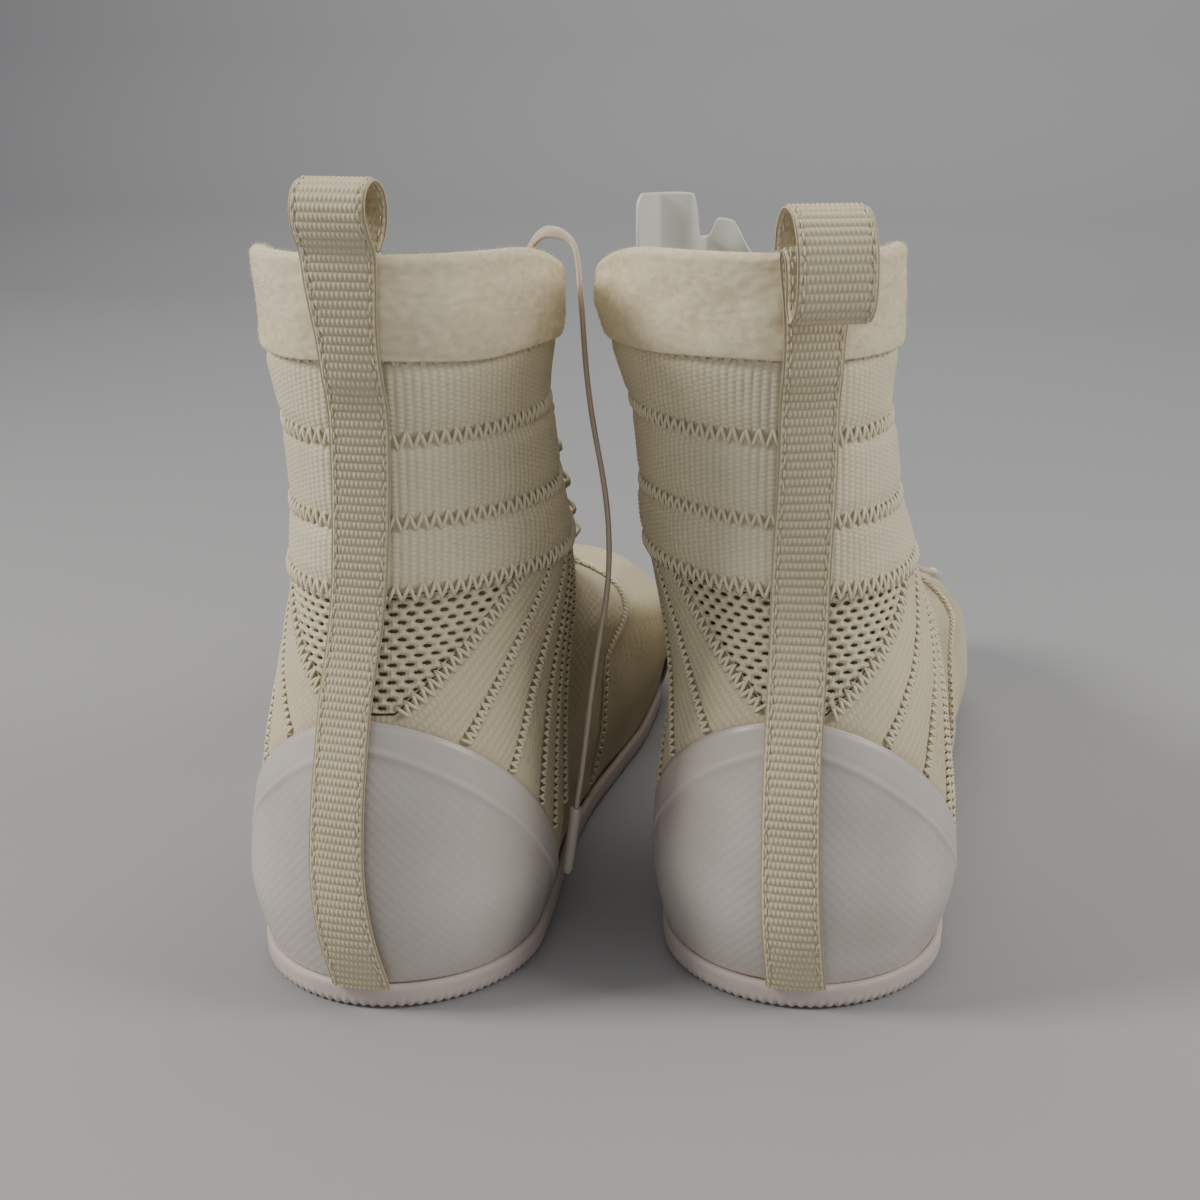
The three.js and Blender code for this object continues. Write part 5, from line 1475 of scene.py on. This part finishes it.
class BOOTS_OT_sole(bpy.types.Operator):
    """Builds the rubber sole and finishes the pieces inside"""
    bl_idname = "boots.sole"
    bl_label = "Sole and insides"

    def execute(self, context):
        for boot in BOOTS:
            make_outsole(boot, fineness(context))
            finish_insides(boot)
        return {"FINISHED"}


class BOOTS_OT_stage(bpy.types.Operator):
    """Sets up the floor, lights and camera"""
    bl_idname = "boots.stage"
    bl_label = "Stage"

    def execute(self, context):
        make_stage(context.scene.stage_settings)
        return {"FINISHED"}


PIECES = (BOOTS_OT_quarters, BOOTS_OT_shaft, BOOTS_OT_collar, BOOTS_OT_counter, BOOTS_OT_front,
          BOOTS_OT_webbing, BOOTS_OT_laces, BOOTS_OT_sole, BOOTS_OT_stage)


class BOOTS_PT_panel(bpy.types.Panel):
    """The boots' settings and pieces"""
    bl_label = "Boxing Boots"
    bl_idname = "BOOTS_PT_panel"
    bl_space_type = "VIEW_3D"
    bl_region_type = "UI"
    bl_category = "Boots"

    def draw(self, context):
        layout = self.layout
        layout.prop(context.scene.boot_settings, "fineness")
        for name in ("lens", "camera_turn", "camera_down", "lamp_power", "fill_light", "floor_tone"):
            layout.prop(context.scene.stage_settings, name)
        for piece in PIECES:
            layout.operator(piece.bl_idname)


CLASSES = (BootSettings, StageSettings, *PIECES, BOOTS_PT_panel)


def register():
    for cls in CLASSES:
        bpy.utils.register_class(cls)
    bpy.types.Scene.boot_settings = PointerProperty(type=BootSettings)
    bpy.types.Scene.stage_settings = PointerProperty(type=StageSettings)


def unregister():
    del bpy.types.Scene.boot_settings
    del bpy.types.Scene.stage_settings
    for cls in reversed(CLASSES):
        bpy.utils.unregister_class(cls)


def main():
    """Builds every piece and the stage."""
    register()
    bpy.ops.boots.quarters()
    bpy.ops.boots.shaft()
    bpy.ops.boots.collar()
    bpy.ops.boots.counter()
    bpy.ops.boots.front()
    bpy.ops.boots.webbing()
    bpy.ops.boots.laces()
    bpy.ops.boots.sole()
    bpy.ops.boots.stage()


if __name__ == "__main__":
    main()
